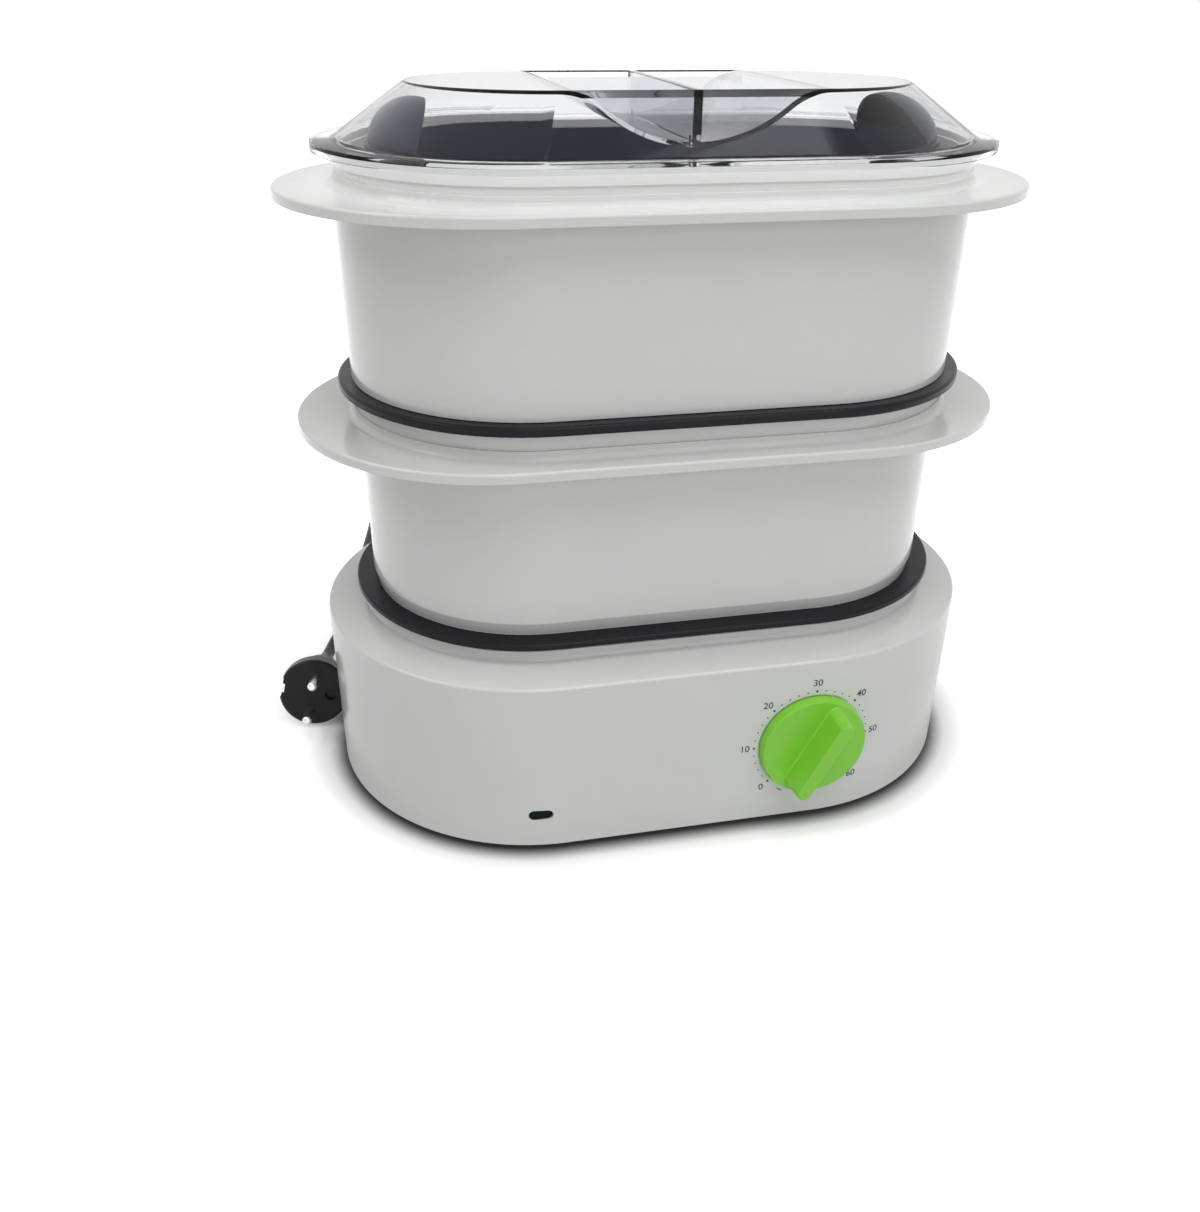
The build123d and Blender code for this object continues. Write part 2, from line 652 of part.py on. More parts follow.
# ---------------------------------------------------------------- baskets
def basket_top(builder, flange_top, collar_end):
    """Flange with its turned-down lip, and the grooved collar above it."""
    spread = flange_half_straight
    stadium_block(flange_radius, flange_top - flange_sheet, flange_top, spread=spread)
    stadium_ring(flange_radius, flange_radius - lip_wall, flange_top - flange_sheet - flange_lip,
                 flange_top - flange_sheet, spread=spread)
    stadium_block(basket_collar_radius, flange_top, collar_end)
    fillet(outline_edges(builder, flange_top, flange_radius, spread), flange_sheet * 0.6)
    fillet(outline_edges(builder, flange_top, basket_collar_radius), flange_fillet)
    fillet(outline_edges(builder, collar_end, basket_collar_radius), basket_wall / 4)
    groove_low = flange_top + groove_lift
    stadium_ring(basket_collar_radius + basket_wall, basket_collar_radius - groove_depth,
                 groove_low, groove_low + basket_collar_groove, Mode.SUBTRACT)


def slots(low, high):
    """Steam slots through a floor."""
    with BuildSketch(level(low)) as holes:
        with GridLocations(slot_pitch_x, slot_pitch_y, slot_columns, slot_rows):
            Rectangle(slot_length, slot_width)
    extrude(holes.sketch, amount=high - low, mode=Mode.SUBTRACT)


lower_foot = tray_ledge + running_gap
lower_turn = tray_top + 0.7
lower_lip = 5.0
with BuildPart() as lower_basket:
    stadium_block(spigot_radius, lower_foot, lower_turn)
    stadium_taper(spigot_radius + 0.2, lower_wall_radius - wall_draft, lower_turn, lower_turn + lower_lip)
    stadium_taper(lower_wall_radius - wall_draft, lower_wall_radius, lower_turn + lower_lip,
                  flange_height - flange_sheet)
    basket_top(lower_basket, flange_height, lower_collar_top)
    inner_foot = spigot_radius - basket_wall
    inner_top = lower_wall_radius - basket_wall
    stadium_taper(inner_foot, inner_top, lower_foot + basket_wall, flange_height, Mode.SUBTRACT)
    stadium_block(basket_collar_bore, flange_height, lower_collar_top, Mode.SUBTRACT)
    slots(lower_foot, lower_foot + basket_wall)
finish(lower_basket, "lower_basket")

upper_spigot = basket_collar_bore - slip_gap
upper_bore = upper_wall_radius - basket_wall
with BuildPart() as basket_floor:
    stadium_block(rim_radius, floor_height, floor_top)
    fillet(edges_at(basket_floor, floor_top) + edges_at(basket_floor, floor_height), 1.5)
    stadium_block(upper_spigot, floor_height - 5.5, floor_height)
    stadium_block(upper_spigot - moulded_wall, floor_height - 5.5, floor_top - moulded_wall, Mode.SUBTRACT)
    upstand = upper_bore - wall_draft - slip_gap
    stadium_ring(upstand, upstand - moulded_wall, floor_top, floor_top + 4)
    slots(floor_top - moulded_wall, floor_top)
finish(basket_floor, "basket_floor")

with BuildPart() as upper_basket:
    stadium_taper(upper_wall_radius - wall_draft, upper_wall_radius, upper_foot, upper_flange - flange_sheet)
    basket_top(upper_basket, upper_flange, upper_collar_top)
    stadium_taper(upper_bore - wall_draft, upper_bore, upper_foot, upper_flange, Mode.SUBTRACT)
    stadium_block(basket_collar_bore, upper_flange - 0.5, upper_collar_top, Mode.SUBTRACT)
finish(upper_basket, "upper_basket")

# ---------------------------------------------------------------- bowl with ears, inside the upper basket
bowl_rim = bowl_foot + bowl_height
ear_axis_x = half_straight + bowl_radius - ear_inset
ear_mouth_plane = Plane(
    origin=(ear_axis_x + ear_mouth, middle_y, bowl_rim),
    x_dir=(0, 1, 0),
    z_dir=(cos(radians(ear_lean)), 0, sin(radians(ear_lean))))


def ear_lens(half_width, bulge, height):
    """Lens across the bowl's end, as seen from above."""
    with BuildSketch(Plane((ear_axis_x, middle_y, height))) as lens:
        with BuildLine():
            arc = ThreePointArc((0, -half_width), (bulge, 0), (0, half_width))
            Line(arc @ 1, arc @ 0)
        make_face()
    return lens.sketch


with BuildPart() as ear:
    ear_axis = Axis((ear_axis_x, middle_y, bowl_rim), (0, 1, 0))
    revolve(ear_lens(ear_half_width, ear_bulge, bowl_rim), axis=ear_axis)
    revolve(ear_lens(ear_half_width - bowl_wall, ear_bulge - bowl_wall, bowl_rim), axis=ear_axis,
            mode=Mode.SUBTRACT)
    split(bisect_by=ear_mouth_plane, keep=Keep.TOP)
    split(bisect_by=level(bowl_rim - bowl_wall / 2), keep=Keep.TOP)
    # ledge that joins the hood to the bowl's lip
    extrude(ear_lens(ear_half_width + bowl_lip, ear_bulge + bowl_lip, bowl_rim - bowl_wall), amount=bowl_wall)
    stadium_block(bowl_radius - bowl_wall, bowl_foot, bowl_rim, Mode.SUBTRACT)

with BuildPart() as insert_bowl:
    stadium_taper(bowl_foot_radius, bowl_radius, bowl_foot, bowl_rim)
    fillet(edges_at(insert_bowl, bowl_foot), 5)
    stadium_block(bowl_radius + bowl_lip, bowl_rim - bowl_wall, bowl_rim)
    stadium_taper(bowl_foot_radius - bowl_wall, bowl_radius - bowl_wall,
                  bowl_foot + bowl_wall, bowl_rim, Mode.SUBTRACT)
    add(ear.part)
    add(ear.part.mirror(Plane.YZ))
finish(insert_bowl, "insert_bowl")

# ---------------------------------------------------------------- lid
slope = (lid_foot_radius - lid_top_radius) / lid_rise
slope_inset = lid_wall * sqrt(1 + slope ** 2)
trough_reach = (trough_half_width ** 2 + trough_depth ** 2) / (2 * trough_depth)
trough_floor_radius = trough_reach - trough_shoulder
trough_floor = lid_top - trough_depth
vent_y = lid_foot_radius - slope_inset - slope * (trough_floor - lid_shell) - vent_inset


def trough(sink, mode):
    """Trough across the lid, as a cut whose surface lies below the outer one by sink."""
    shoulder = trough_shoulder - sink
    shoulder_centre = lid_top - trough_shoulder
    floor_centre = trough_floor + trough_floor_radius
    share = shoulder / trough_reach
    bend_x = -trough_half_width * (1 - share)
    bend_z = shoulder_centre + (floor_centre - shoulder_centre) * share
    crown = lid_top - sink
    with BuildSketch(facing(middle_y)) as outline:
        with BuildLine():
            left = TangentArc((-trough_half_width, crown), (bend_x, bend_z), tangent=(1, 0))
            middle = TangentArc(left @ 1, (-bend_x, bend_z), tangent=left % 1)
            TangentArc(middle @ 1, (trough_half_width, crown), tangent=middle % 1)
            Polyline((trough_half_width, crown), (trough_half_width, crown + 9),
                     (-trough_half_width, crown + 9), (-trough_half_width, crown))
        make_face()
    extrude(outline.sketch, amount=lid_flange_radius, both=True, mode=mode)


with BuildPart() as lid_pocket:
    stadium_taper(lid_foot_radius - slope_inset, lid_top_radius - slope_inset, lid_shell, lid_top)
    trough(0, Mode.INTERSECT)

with BuildPart() as lid_web:
    stadium_taper(lid_foot_radius - slope_inset / 2, lid_top_radius - slope_inset / 2, lid_shell, lid_top)
    with BuildSketch(level(trough_floor - lid_wall / 2)):
        Rectangle(2 * web_half_thickness, 2 * lid_foot_radius)
    extrude(amount=trough_depth + lid_wall / 2, mode=Mode.INTERSECT)

with BuildPart() as lid_hollow:
    stadium_taper(lid_foot_radius - slope_inset, lid_top_radius - slope_inset + slope * lid_wall,
                  lid_shell, lid_top - lid_wall)
    trough(lid_wall, Mode.SUBTRACT)

skirt_radius = basket_collar_bore - slip_gap
with BuildPart() as lid:
    stadium_taper(lid_foot_radius, lid_top_radius, lid_shell, lid_top)
    fillet(edges_at(lid, lid_top), lid_wall / 2)
    add(lid_pocket.part, mode=Mode.SUBTRACT)
    add(lid_web.part)
    stadium_block(lid_flange_radius, lid_seat, lid_shell)
    fillet(outline_edges(lid, lid_shell, lid_flange_radius), lid_flange_sheet * 0.4)
    stadium_ring(lid_flange_radius, lid_flange_radius - lip_wall, lid_seat - lid_lip, lid_seat)
    stadium_ring(skirt_radius, skirt_radius - moulded_wall, lid_seat - 4, lid_seat)
    stadium_block(skirt_radius - moulded_wall, lid_seat - 1, lid_shell, Mode.SUBTRACT)
    add(lid_hollow.part, mode=Mode.SUBTRACT)
    rods([(0, vent_y), (0, -vent_y)], vent_radius, lid_seat, trough_floor + vent_height, Mode.SUBTRACT)
finish(lid, "lid")

# ---------------------------------------------------------------- mains lead inside the base
with BuildPart() as cord_gland:
    cross_rods([(gland_x, gland_z)], gland_flange, gland_end, gland_seat)
    cross_rods([(gland_x, gland_z)], gland_hole - 0.05, gland_seat, rear_y + running_gap)
    with BuildSketch(facing(rear_y + running_gap)):
        with Locations((gland_x, gland_z)):
            Circle(gland_radius)
    with BuildSketch(facing(rear_y + gland_length)):
        with Locations((gland_x, gland_z)):
            Circle(gland_tip_radius)
    loft(ruled=True)
    for ring in range(5):
        place = rear_y + 5 + 4.6 * ring
        with BuildSketch(facing(place + 1.6)):
            with Locations((gland_x, gland_z)):
                Circle(gland_radius + 1)
                Circle(gland_tip_radius, mode=Mode.SUBTRACT)
        extrude(amount=1.6, mode=Mode.SUBTRACT)
finish(cord_gland, "cord_gland")

with BuildPart() as cord_tail:
    cross_rods([(gland_x, gland_z)], cord_radius, gland_end - tail_length, gland_end)
finish(cord_tail, "cord_tail")

with BuildPart() as cord_clamp:
    with BuildSketch(level(clamp_low)):
        with Locations((gland_x, clamp_y)):
            SlotOverall(26, 7)
        with Locations(*clamp_places):
            Circle(screw_shank + 0.2, mode=Mode.SUBTRACT)
    extrude(amount=clamp_sheet_height)
finish(cord_clamp, "cord_clamp")

with BuildPart() as clamp_screws:
    rods(clamp_places, screw_head, clamp_low + clamp_sheet_height, clamp_low + clamp_sheet_height + 2)
    rods(clamp_places, screw_shank, clamp_low - 7, clamp_low + clamp_sheet_height)
finish(clamp_screws, "clamp_screws")

with BuildPart() as terminal_block:
    with BuildSketch(level(cover_top)):
        with Locations((gland_x, block_y)):
            Rectangle(block_width, block_depth)
    extrude(amount=block_top - cover_top)
    rods([(gland_x + side, block_y) for side in (-9, 0, 9)], 2.2, block_top - 4, block_top, Mode.SUBTRACT)
finish(terminal_block, "terminal_block")

block_front = block_y - block_depth / 2 + middle_y
wire_z = 11.0
leg_end = element_z - element_leg
cutout_end = cutout_top - cutout_height - 6
lamp_end = lens_front + 17
wire_routes = [
    # block to the heating element
    [(gland_x - 9, block_front, wire_z), (gland_x - 9, block_front - 14, wire_z),
     (leg_x, leg_y + middle_y, wire_z), (leg_x, leg_y + middle_y, leg_end)],
    # block to the timer
    [(gland_x + 4, block_front, wire_z), (gland_x + 4, block_front - 40, wire_z),
     (knob_x + 16, timer_back + 30, wire_z), (knob_x + 16, timer_back + 10, 34),
     (knob_x + 16, timer_back, 34)],
    # timer to the thermal cut-out
    [(knob_x - 12, timer_back, 34), (knob_x - 12, timer_back + 14, 34),
     (5, middle_y - 8, 24), (5, middle_y, 24), (5, middle_y, cutout_end)],
    # thermal cut-out to the heating element
    [(-5, middle_y, cutout_end), (-5, middle_y, 20), (-leg_x, leg_y + middle_y, 20),
     (-leg_x, leg_y + middle_y, leg_end)],
    # pilot lamp to the block
    [(pilot_x, lamp_end, pilot_z), (pilot_x, lamp_end + 14, pilot_z), (pilot_x + 30, middle_y + 60, wire_z),
     (gland_x - 50, block_y + middle_y, wire_z), (gland_x - block_width / 2, block_y + middle_y, wire_z)],
]
with BuildPart() as internal_wires:
    for route in wire_routes:
        with BuildLine() as wire_line:
            FilletPolyline(*route, radius=wire_bend)
        with BuildSketch(Plane(origin=wire_line.line @ 0, z_dir=wire_line.line % 0)) as wire_section:
            Circle(wire_radius)
        sweep(wire_section.sketch, path=wire_line.line)
finish(internal_wires, "internal_wires")


# ---------------------------------------------------------------- mains lead on the table
def bend_radii(route):
    """Largest arc that the two runs at each corner leave room for."""
    radii = []
    for before, corner, after in zip(route, route[1:], route[2:]):
        first = Vector(*corner) - Vector(*before)
        second = Vector(*after) - Vector(*corner)
        turn = radians(first.get_angle(second))
        radii.append(0.45 * min(first.length, second.length) / tan(turn / 2))
    return radii


def cord_tube(name, route):
    radii = bend_radii(route)
    print(name, "radii", [round(radius) for radius in radii])
    with BuildPart() as tube:
        with BuildLine() as path:
            FilletPolyline(*route, radius=radii)
        with BuildSketch(Plane(origin=path.line @ 0, z_dir=path.line % 0)):
            Circle(cord_radius)
        sweep()
    length = sum(edge.length for edge in path.edges())
    share = tube.part.volume / (length * pi * cord_radius ** 2)
    print(name, "length", round(length), "volume over section times length", round(share, 4))
    return tube


coil_outer = coil_middle + 2 * cord_radius
coil_inner = coil_middle - 2 * cord_radius
outer_turn = coil_middle + cord_radius
entry_y = coil_y - sqrt(coil_outer ** 2 - outer_turn ** 2) + 2
exit_x = coil_x - sqrt(coil_outer ** 2 - outer_turn ** 2) + 2

lead_route = [
    (gland_x, rear_y + gland_length, gland_z),
    (gland_x, 152, gland_z),
    (60.3, 170, 11.6),
    (60.7, 189, 5.8),
    (coil_x + outer_turn, 208, cord_radius),
    (coil_x + outer_turn, entry_y, cord_radius),
]
cord_lead = cord_tube("cord_lead", lead_route)
finish(cord_lead, "cord_lead")

with BuildPart() as cord_coil:
    with BuildSketch():
        with Locations((coil_x, coil_y)):
            Circle(coil_outer)
            Circle(coil_inner, mode=Mode.SUBTRACT)
    extrude(amount=4 * cord_radius)
finish(cord_coil, "cord_coil")

# the plug's own frame: its face is the plane, its z axis points out along the pins
plug_normal = Vector(
    sin(radians(plug_yaw)) * cos(radians(plug_tilt)),
    -cos(radians(plug_yaw)) * cos(radians(plug_tilt)),
    sin(radians(plug_tilt)))
level_side = Vector(cos(radians(plug_yaw)), sin(radians(plug_yaw)), 0)
plug_side = level_side.rotate(Axis((0, 0, 0), plug_normal), -plug_roll)
plug_plane = Plane(origin=plug_face, x_dir=plug_side, z_dir=plug_normal)
plug_end = plug_plane.from_local_coords(Vector(0, 0, -plug_length))
plug_back = plug_plane.from_local_coords(Vector(0, 0, -plug_length - 9.5))

power_route = [
    (exit_x, coil_y + outer_turn, 3 * cord_radius),
    (-14, coil_y + outer_turn, 9.2),
    (-34, 288.5, 5.8),
    (-52, 301, cord_radius),
    (-70, 315.5, cord_radius),
    (-90, 323.8, cord_radius),
    (-109.5, 322, cord_radius),
    (-126, 310.5, cord_radius),
    (-135, 291.5, cord_radius),
    (-135.5, 271, cord_radius),
    (-144, 249, cord_radius),
    (-152, 221, cord_radius),
    (-156, 188, cord_radius),
    (-162.5, 154, cord_radius),
    (-166.5, 122, cord_radius),
    (plug_back.X, plug_back.Y, plug_back.Z),
    (plug_end.X, plug_end.Y, plug_end.Z),
]
power_cord = cord_tube("power_cord", power_route)
finish(power_cord, "power_cord")

with BuildPart() as plug_body:
    with BuildSketch(Plane(origin=plug_face, x_dir=-plug_normal, z_dir=plug_side)):
        with BuildLine():
            Polyline((0, 0), (0, plug_radius - 1), (1, plug_radius), (plug_rim, plug_radius),
                     (plug_rim + 6, grip_radius + 2), (grip_end - 3, grip_radius),
                     (grip_end, gland_radius + 1.2), (plug_length, gland_tip_radius),
                     (plug_length, 0), (0, 0))
        make_face()
    revolve(axis=Axis(plug_face, -plug_normal))
    # flats for the earth clips
    with BuildSketch(plug_plane.offset(-plug_rim - 8)):
        with Locations((plug_flat + plug_radius, 0), (-plug_flat - plug_radius, 0)):
            Rectangle(2 * plug_radius, 11)
    extrude(amount=plug_rim + 10, mode=Mode.SUBTRACT)
    with BuildSketch(plug_plane.offset(-clip_length)):
        with Locations((plug_flat, 0), (-plug_flat, 0)):
            Rectangle(2 * clip_sheet, clip_width)
    extrude(amount=clip_length, mode=Mode.SUBTRACT)
    with BuildSketch(plug_plane.offset(-pin_root)):
        with Locations((0, pin_spacing / 2), (0, -pin_spacing / 2)):
            Circle(pin_radius)
    extrude(amount=pin_root, mode=Mode.SUBTRACT)
    with BuildSketch(plug_plane.offset(-2.5)):
        with Locations((earth_hole_reach, 0)):
            Circle(earth_hole_radius)
    extrude(amount=2.5, mode=Mode.SUBTRACT)
finish(plug_body, "plug_body")

with BuildPart() as plug_pins:
    with BuildSketch(plug_plane.offset(-pin_root)):
        with Locations((0, pin_spacing / 2), (0, -pin_spacing / 2)):
            Circle(pin_radius)
    extrude(amount=pin_root + pin_length)
    tips = plug_pins.faces().filter_by(lambda f: plug_plane.to_local_coords(f.center()).Z > pin_length - 0.1)
    fillet(tips.edges(), pin_radius * 0.6)
finish(plug_pins, "plug_pins")

with BuildPart() as plug_earth_clips:
    with BuildSketch(plug_plane.offset(-clip_length)):
        with Locations((plug_flat - clip_sheet / 2, 0), (-plug_flat + clip_sheet / 2, 0)):
            Rectangle(clip_sheet, clip_width)
    extrude(amount=clip_length - 0.4)
finish(plug_earth_clips, "plug_earth_clips")
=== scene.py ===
from math import atan2, cos, pi, radians, sin, sqrt

import bmesh
import bpy
from bpy.props import FloatProperty, FloatVectorProperty, IntProperty, PointerProperty
from mathutils import Matrix, Vector


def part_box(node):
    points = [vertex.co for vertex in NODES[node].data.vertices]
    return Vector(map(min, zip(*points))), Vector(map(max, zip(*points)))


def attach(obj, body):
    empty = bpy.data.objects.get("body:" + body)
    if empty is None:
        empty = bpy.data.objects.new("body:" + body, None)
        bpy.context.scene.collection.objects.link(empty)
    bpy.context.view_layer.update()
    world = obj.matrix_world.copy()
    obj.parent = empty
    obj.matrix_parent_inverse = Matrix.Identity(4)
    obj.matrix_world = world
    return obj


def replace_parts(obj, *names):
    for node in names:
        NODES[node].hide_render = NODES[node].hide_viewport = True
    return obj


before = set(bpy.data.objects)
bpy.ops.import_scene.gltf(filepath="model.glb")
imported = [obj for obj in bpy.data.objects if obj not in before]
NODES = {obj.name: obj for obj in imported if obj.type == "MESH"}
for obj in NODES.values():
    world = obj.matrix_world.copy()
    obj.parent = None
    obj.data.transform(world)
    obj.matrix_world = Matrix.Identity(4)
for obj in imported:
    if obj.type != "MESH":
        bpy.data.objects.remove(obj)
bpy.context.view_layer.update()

bl_info = {
    "name": "Food Steamer Dresser",
    "version": (1, 0, 0),
    "blender": (4, 5, 0),
    "location": "View3D > Sidebar > Steamer",
    "description": "Materials, dial print, mains lead and studio for an electric food steamer",
    "category": "Object",
}

MM = 0.001
HOUSING_LOW, HOUSING_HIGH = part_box("base_housing")
SHAFT_LOW, SHAFT_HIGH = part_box("timer_shaft")

# the base in plan is a stadium: two half circles joined by straight sides
BASE_RADIUS = (HOUSING_HIGH.y - HOUSING_LOW.y) / 2
HALF_STRAIGHT = (HOUSING_HIGH.x - HOUSING_LOW.x) / 2 - BASE_RADIUS
MIDDLE_Y = (HOUSING_HIGH.y + HOUSING_LOW.y) / 2
SHOULDER_Z = 88.5 * MM
WALL_DRAFT = 0.6 * MM
KNOB_X = (SHAFT_LOW.x + SHAFT_HIGH.x) / 2
KNOB_Z = (SHAFT_LOW.z + SHAFT_HIGH.z) / 2

# the dial in degrees, clockwise from straight up, and its marks
DIAL_START = -135
DIAL_SWEEP = 270
OFF_MARK = -152
DIAL_STEPS = 30
STEPS_PER_NUMBER = 5

# the print: a letter's size for its height, how far it is fattened, its height on the wall
LETTER_SIZE = 1.36
LETTER_GROWTH = 0.05 * MM
INK_HEIGHT = 0.02 * MM
PRINT_REACH = 40 * MM
PRINT_STRIPS = 64

# levels and widths of the lid: flange with a lip turned down, and a skirt inside the basket
LID_LOW, LID_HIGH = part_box("lid")
LID_TOP = LID_HIGH.z
LID_RISE = 21.6 * MM
LID_SHELL = LID_TOP - LID_RISE
LID_FLANGE = 2 * MM
LID_SEAT = LID_SHELL - LID_FLANGE
BRIM_RADIUS = (LID_HIGH.y - LID_LOW.y) / 2
BRIM_LIP = 2 * MM
BRIM_WALL = 1.8 * MM
SKIRT_RADIUS = 76.6 * MM
LID_PLACE = Matrix.Translation((0, MIDDLE_Y, 0))

# the mains lead's route: the bare stretch, the coil and the stretch to the plug, in millimetres
CORD_RADIUS = 3.3
COIL_CENTRE = (20, 242.5)
COIL_MIDDLE = 36.3
COIL_TURNS = 3.25
COIL_MOVES_IN, COIL_CLIMBS, COIL_MOVES_OUT = 0.85, 1.85, 2.85
COIL_STEP = 0.3
POINTS_PER_TURN = 14
LEAD_ROUTE = [
    (60, 138.5, 16),
    (60, 152, 16),
    (60.3, 170, 11.6),
    (60.7, 189, 5.8),
    (59.6, 208, 3.3),
]
POWER_ROUTE = [
    (-14, 282.1, 9.2),
    (-34, 288.5, 5.8),
    (-52, 301, 3.3),
    (-70, 315.5, 3.3),
    (-90, 323.8, 3.3),
    (-109.5, 322, 3.3),
    (-126, 310.5, 3.3),
    (-135, 291.5, 3.3),
    (-138, 269, 3.3),
    (-142, 243, 3.3),
    (-145.5, 212, 3.3),
    (-149, 180, 3.3),
    (-155, 149, 3.3),
    (-163.5, 121, 3.3),
]
PLUG_YAW, PLUG_TILT = radians(-5), radians(14)
PLUG_FACE = (-174.8, 36, 19.7)
PLUG_REACHES = (67.5, 58)

# each lamp's name, place, what it points at, and width and height
LAMPS = (
    ("key", (0.2, -0.62, 1.62), (0, 0, 0.2), (1.2, 0.9)),
    ("side", (-1.0, -0.05, 1.3), (0, 0, 0.2), (0.8, 0.8)),
    ("fill", (0.35, -1.5, 0.7), (0, 0, 0.15), (0.9, 0.9)),
)

# the floor by its distance from the base's outline: the painted shadow line at the feet, and the two glows
# as start, end and strength, the far one ending at the studio's floor reach; the glows are weaker close to
# the base, which paints shade round it
FLOOR_RADIUS = 6.0
# painted shadow: the floor's colour as the camera sees it is dark at the base's outline and pale from the
# end on
SHADOW_PAINT_START, SHADOW_PAINT_END = -0.002, 0.009
SHADOW_PAINT_DARK, SHADOW_PAINT_PALE = (0.1, 0.1, 0.1, 1), (0.95, 0.95, 0.95, 1)
NEAR_GLOW = (0.003, 0.025, 0.45)
FAR_GLOW_START, FAR_GLOW = 0.02, 0.6

WHITE = (1, 1, 1, 1)

# sockets of a Mix node that mixes colours
MIX_SHARE, MIX_A, MIX_B, MIX_RESULT = 0, 6, 7, 2

# what a noise texture mostly runs between
NOISE_LOW, NOISE_HIGH = 0.3, 0.7

# edges between faces that turn by less than this are smooth
SHARP_FROM = radians(28)


# ---------------------------------------------------------------- settings
class SteamerCameraSettings(bpy.types.PropertyGroup):
    place: FloatVectorProperty(
        name="Place", description="Where the camera stands", default=(-0.13352, -0.49119, 0.35668),
        subtype="TRANSLATION", unit="LENGTH")
    turn: FloatProperty(
        name="Turn", description="Turned from looking along +Y towards +X", default=radians(12.283),
        subtype="ANGLE")
    dip: FloatProperty(
        name="Dip", description="How far the camera looks down", default=radians(27.546), subtype="ANGLE")
    roll: FloatProperty(
        name="Roll", description="Turn about the line of sight", default=radians(0.639), subtype="ANGLE")
    lens: FloatProperty(
        name="Lens", description="Focal length for a 36 mm sensor", default=33.568, unit="CAMERA")
    shift_y: FloatProperty(name="Shift", description="Upright shift of the lens", default=-0.0256)


class SteamerStudioSettings(bpy.types.PropertyGroup):
    key_power: FloatProperty(
        name="Key", description="Power of the large lamp overhead", default=10.5, unit="POWER")
    side_power: FloatProperty(
        name="Side", description="Power of the lamp at the left", default=4.5, unit="POWER")
    fill_power: FloatProperty(
        name="Fill", description="Power of the lamp in front", default=4.0, unit="POWER")
    sky: FloatProperty(name="Sky", description="Strength of the light from all round", default=0.32)
    floor_colour: FloatVectorProperty(
        name="Floor", description="Colour of the floor", default=(0.7, 0.7, 0.7), subtype="COLOR")
    floor_reach: FloatProperty(
        name="Floor reach", description="Where the floor has turned plain white", default=0.25,
        unit="LENGTH")


class SteamerPlasticSettings(bpy.types.PropertyGroup):
    white: FloatVectorProperty(
        name="White", description="Housing and baskets", default=(0.71, 0.715, 0.7), subtype="COLOR")
    charcoal: FloatVectorProperty(
        name="Charcoal", description="Drip tray and basket floor", default=(0.013, 0.013, 0.017),
        subtype="COLOR")
    navy: FloatVectorProperty(
        name="Navy", description="Bowl inside the upper basket", default=(0.012, 0.014, 0.028),
        subtype="COLOR")
    green: FloatVectorProperty(
        name="Green", description="Timer knob", default=(0.24, 0.66, 0.042), subtype="COLOR")
    clear: FloatVectorProperty(
        name="Clear", description="Lid", default=(0.82, 0.825, 0.835), subtype="COLOR")
    black: FloatVectorProperty(
        name="Black", description="Mains lead and plug", default=(0.012, 0.012, 0.014), subtype="COLOR")
    ink: FloatVectorProperty(
        name="Ink", description="Dial print", default=(0.02, 0.02, 0.022), subtype="COLOR")


class SteamerDialSettings(bpy.types.PropertyGroup):
    dot_ring: FloatProperty(
        name="Dot ring", description="Radius of the ring of dots", default=28.15 * MM, unit="LENGTH")
    number_ring: FloatProperty(
        name="Number ring", description="Radius of the ring of numbers", default=32.6 * MM, unit="LENGTH")
    number_height: FloatProperty(
        name="Number height", description="Height of a number", default=3.55 * MM, unit="LENGTH")
    big_dot: FloatProperty(
        name="Tens dot", description="Radius of the dot at each ten", default=0.62 * MM, unit="LENGTH")
    small_dot: FloatProperty(
        name="Dot", description="Radius of the dots between", default=0.38 * MM, unit="LENGTH")
    minutes: IntProperty(name="Minutes", description="Longest time on the dial", default=60)


class SteamerKnobSettings(bpy.types.PropertyGroup):
    pointer: FloatProperty(
        name="Pointer", description="Where the bar points when off, clockwise from straight up",
        default=radians(OFF_MARK), subtype="ANGLE")
    disc_radius: FloatProperty(
        name="Disc radius", description="Radius of the knob's disc", default=25.5 * MM, unit="LENGTH")
    disc_height: FloatProperty(
        name="Disc height", description="Front of the disc above the wall", default=4.6 * MM, unit="LENGTH")
    bar_height: FloatProperty(
        name="Bar height", description="Front of the bar above the wall", default=18 * MM,
        unit="LENGTH")
    bar_straight: FloatProperty(
        name="Bar straight", description="Knob's axis to the centre of the bar's round ends",
        default=18.3 * MM, unit="LENGTH")
    bar_radius: FloatProperty(
        name="Bar radius", description="Half width of the bar at its front", default=3.2 * MM,
        unit="LENGTH")
    bar_foot: FloatProperty(
        name="Bar foot", description="Half width of the bar at the disc", default=4.5 * MM, unit="LENGTH")


class SteamerCordSettings(bpy.types.PropertyGroup):
    length: FloatProperty(
        name="Length", description="Length of the mains lead outside the base", default=1.19,
        unit="LENGTH")


class SteamerLidSettings(bpy.types.PropertyGroup):
    top_straight: FloatProperty(
        name="Top straight", description="Middle of the lid to the centre of its flat top's round ends",
        default=52.5 * MM, unit="LENGTH")
    top_radius: FloatProperty(
        name="Top radius", description="Half width of the flat top", default=55.5 * MM, unit="LENGTH")
    foot_radius: FloatProperty(
        name="Foot radius", description="Half width at the foot of the sloping side", default=79 * MM,
        unit="LENGTH")
    wall: FloatProperty(
        name="Wall", description="Thickness of the clear wall", default=1.7 * MM, unit="LENGTH")
    pocket_half: FloatProperty(
        name="Pocket", description="Half width of the pocket", default=54 * MM, unit="LENGTH")
    pocket_depth: FloatProperty(
        name="Pocket depth", description="Depth of the pocket", default=19.1 * MM, unit="LENGTH")
    shoulder: FloatProperty(
        name="Shoulder", description="Radius of the pocket's rounded shoulders", default=28 * MM,
        unit="LENGTH")
    web: FloatProperty(
        name="Web", description="Thickness of the web across the pocket", default=3.6 * MM, unit="LENGTH")
    vent: FloatProperty(
        name="Vent", description="Radius of the two steam vents", default=2.6 * MM, unit="LENGTH")


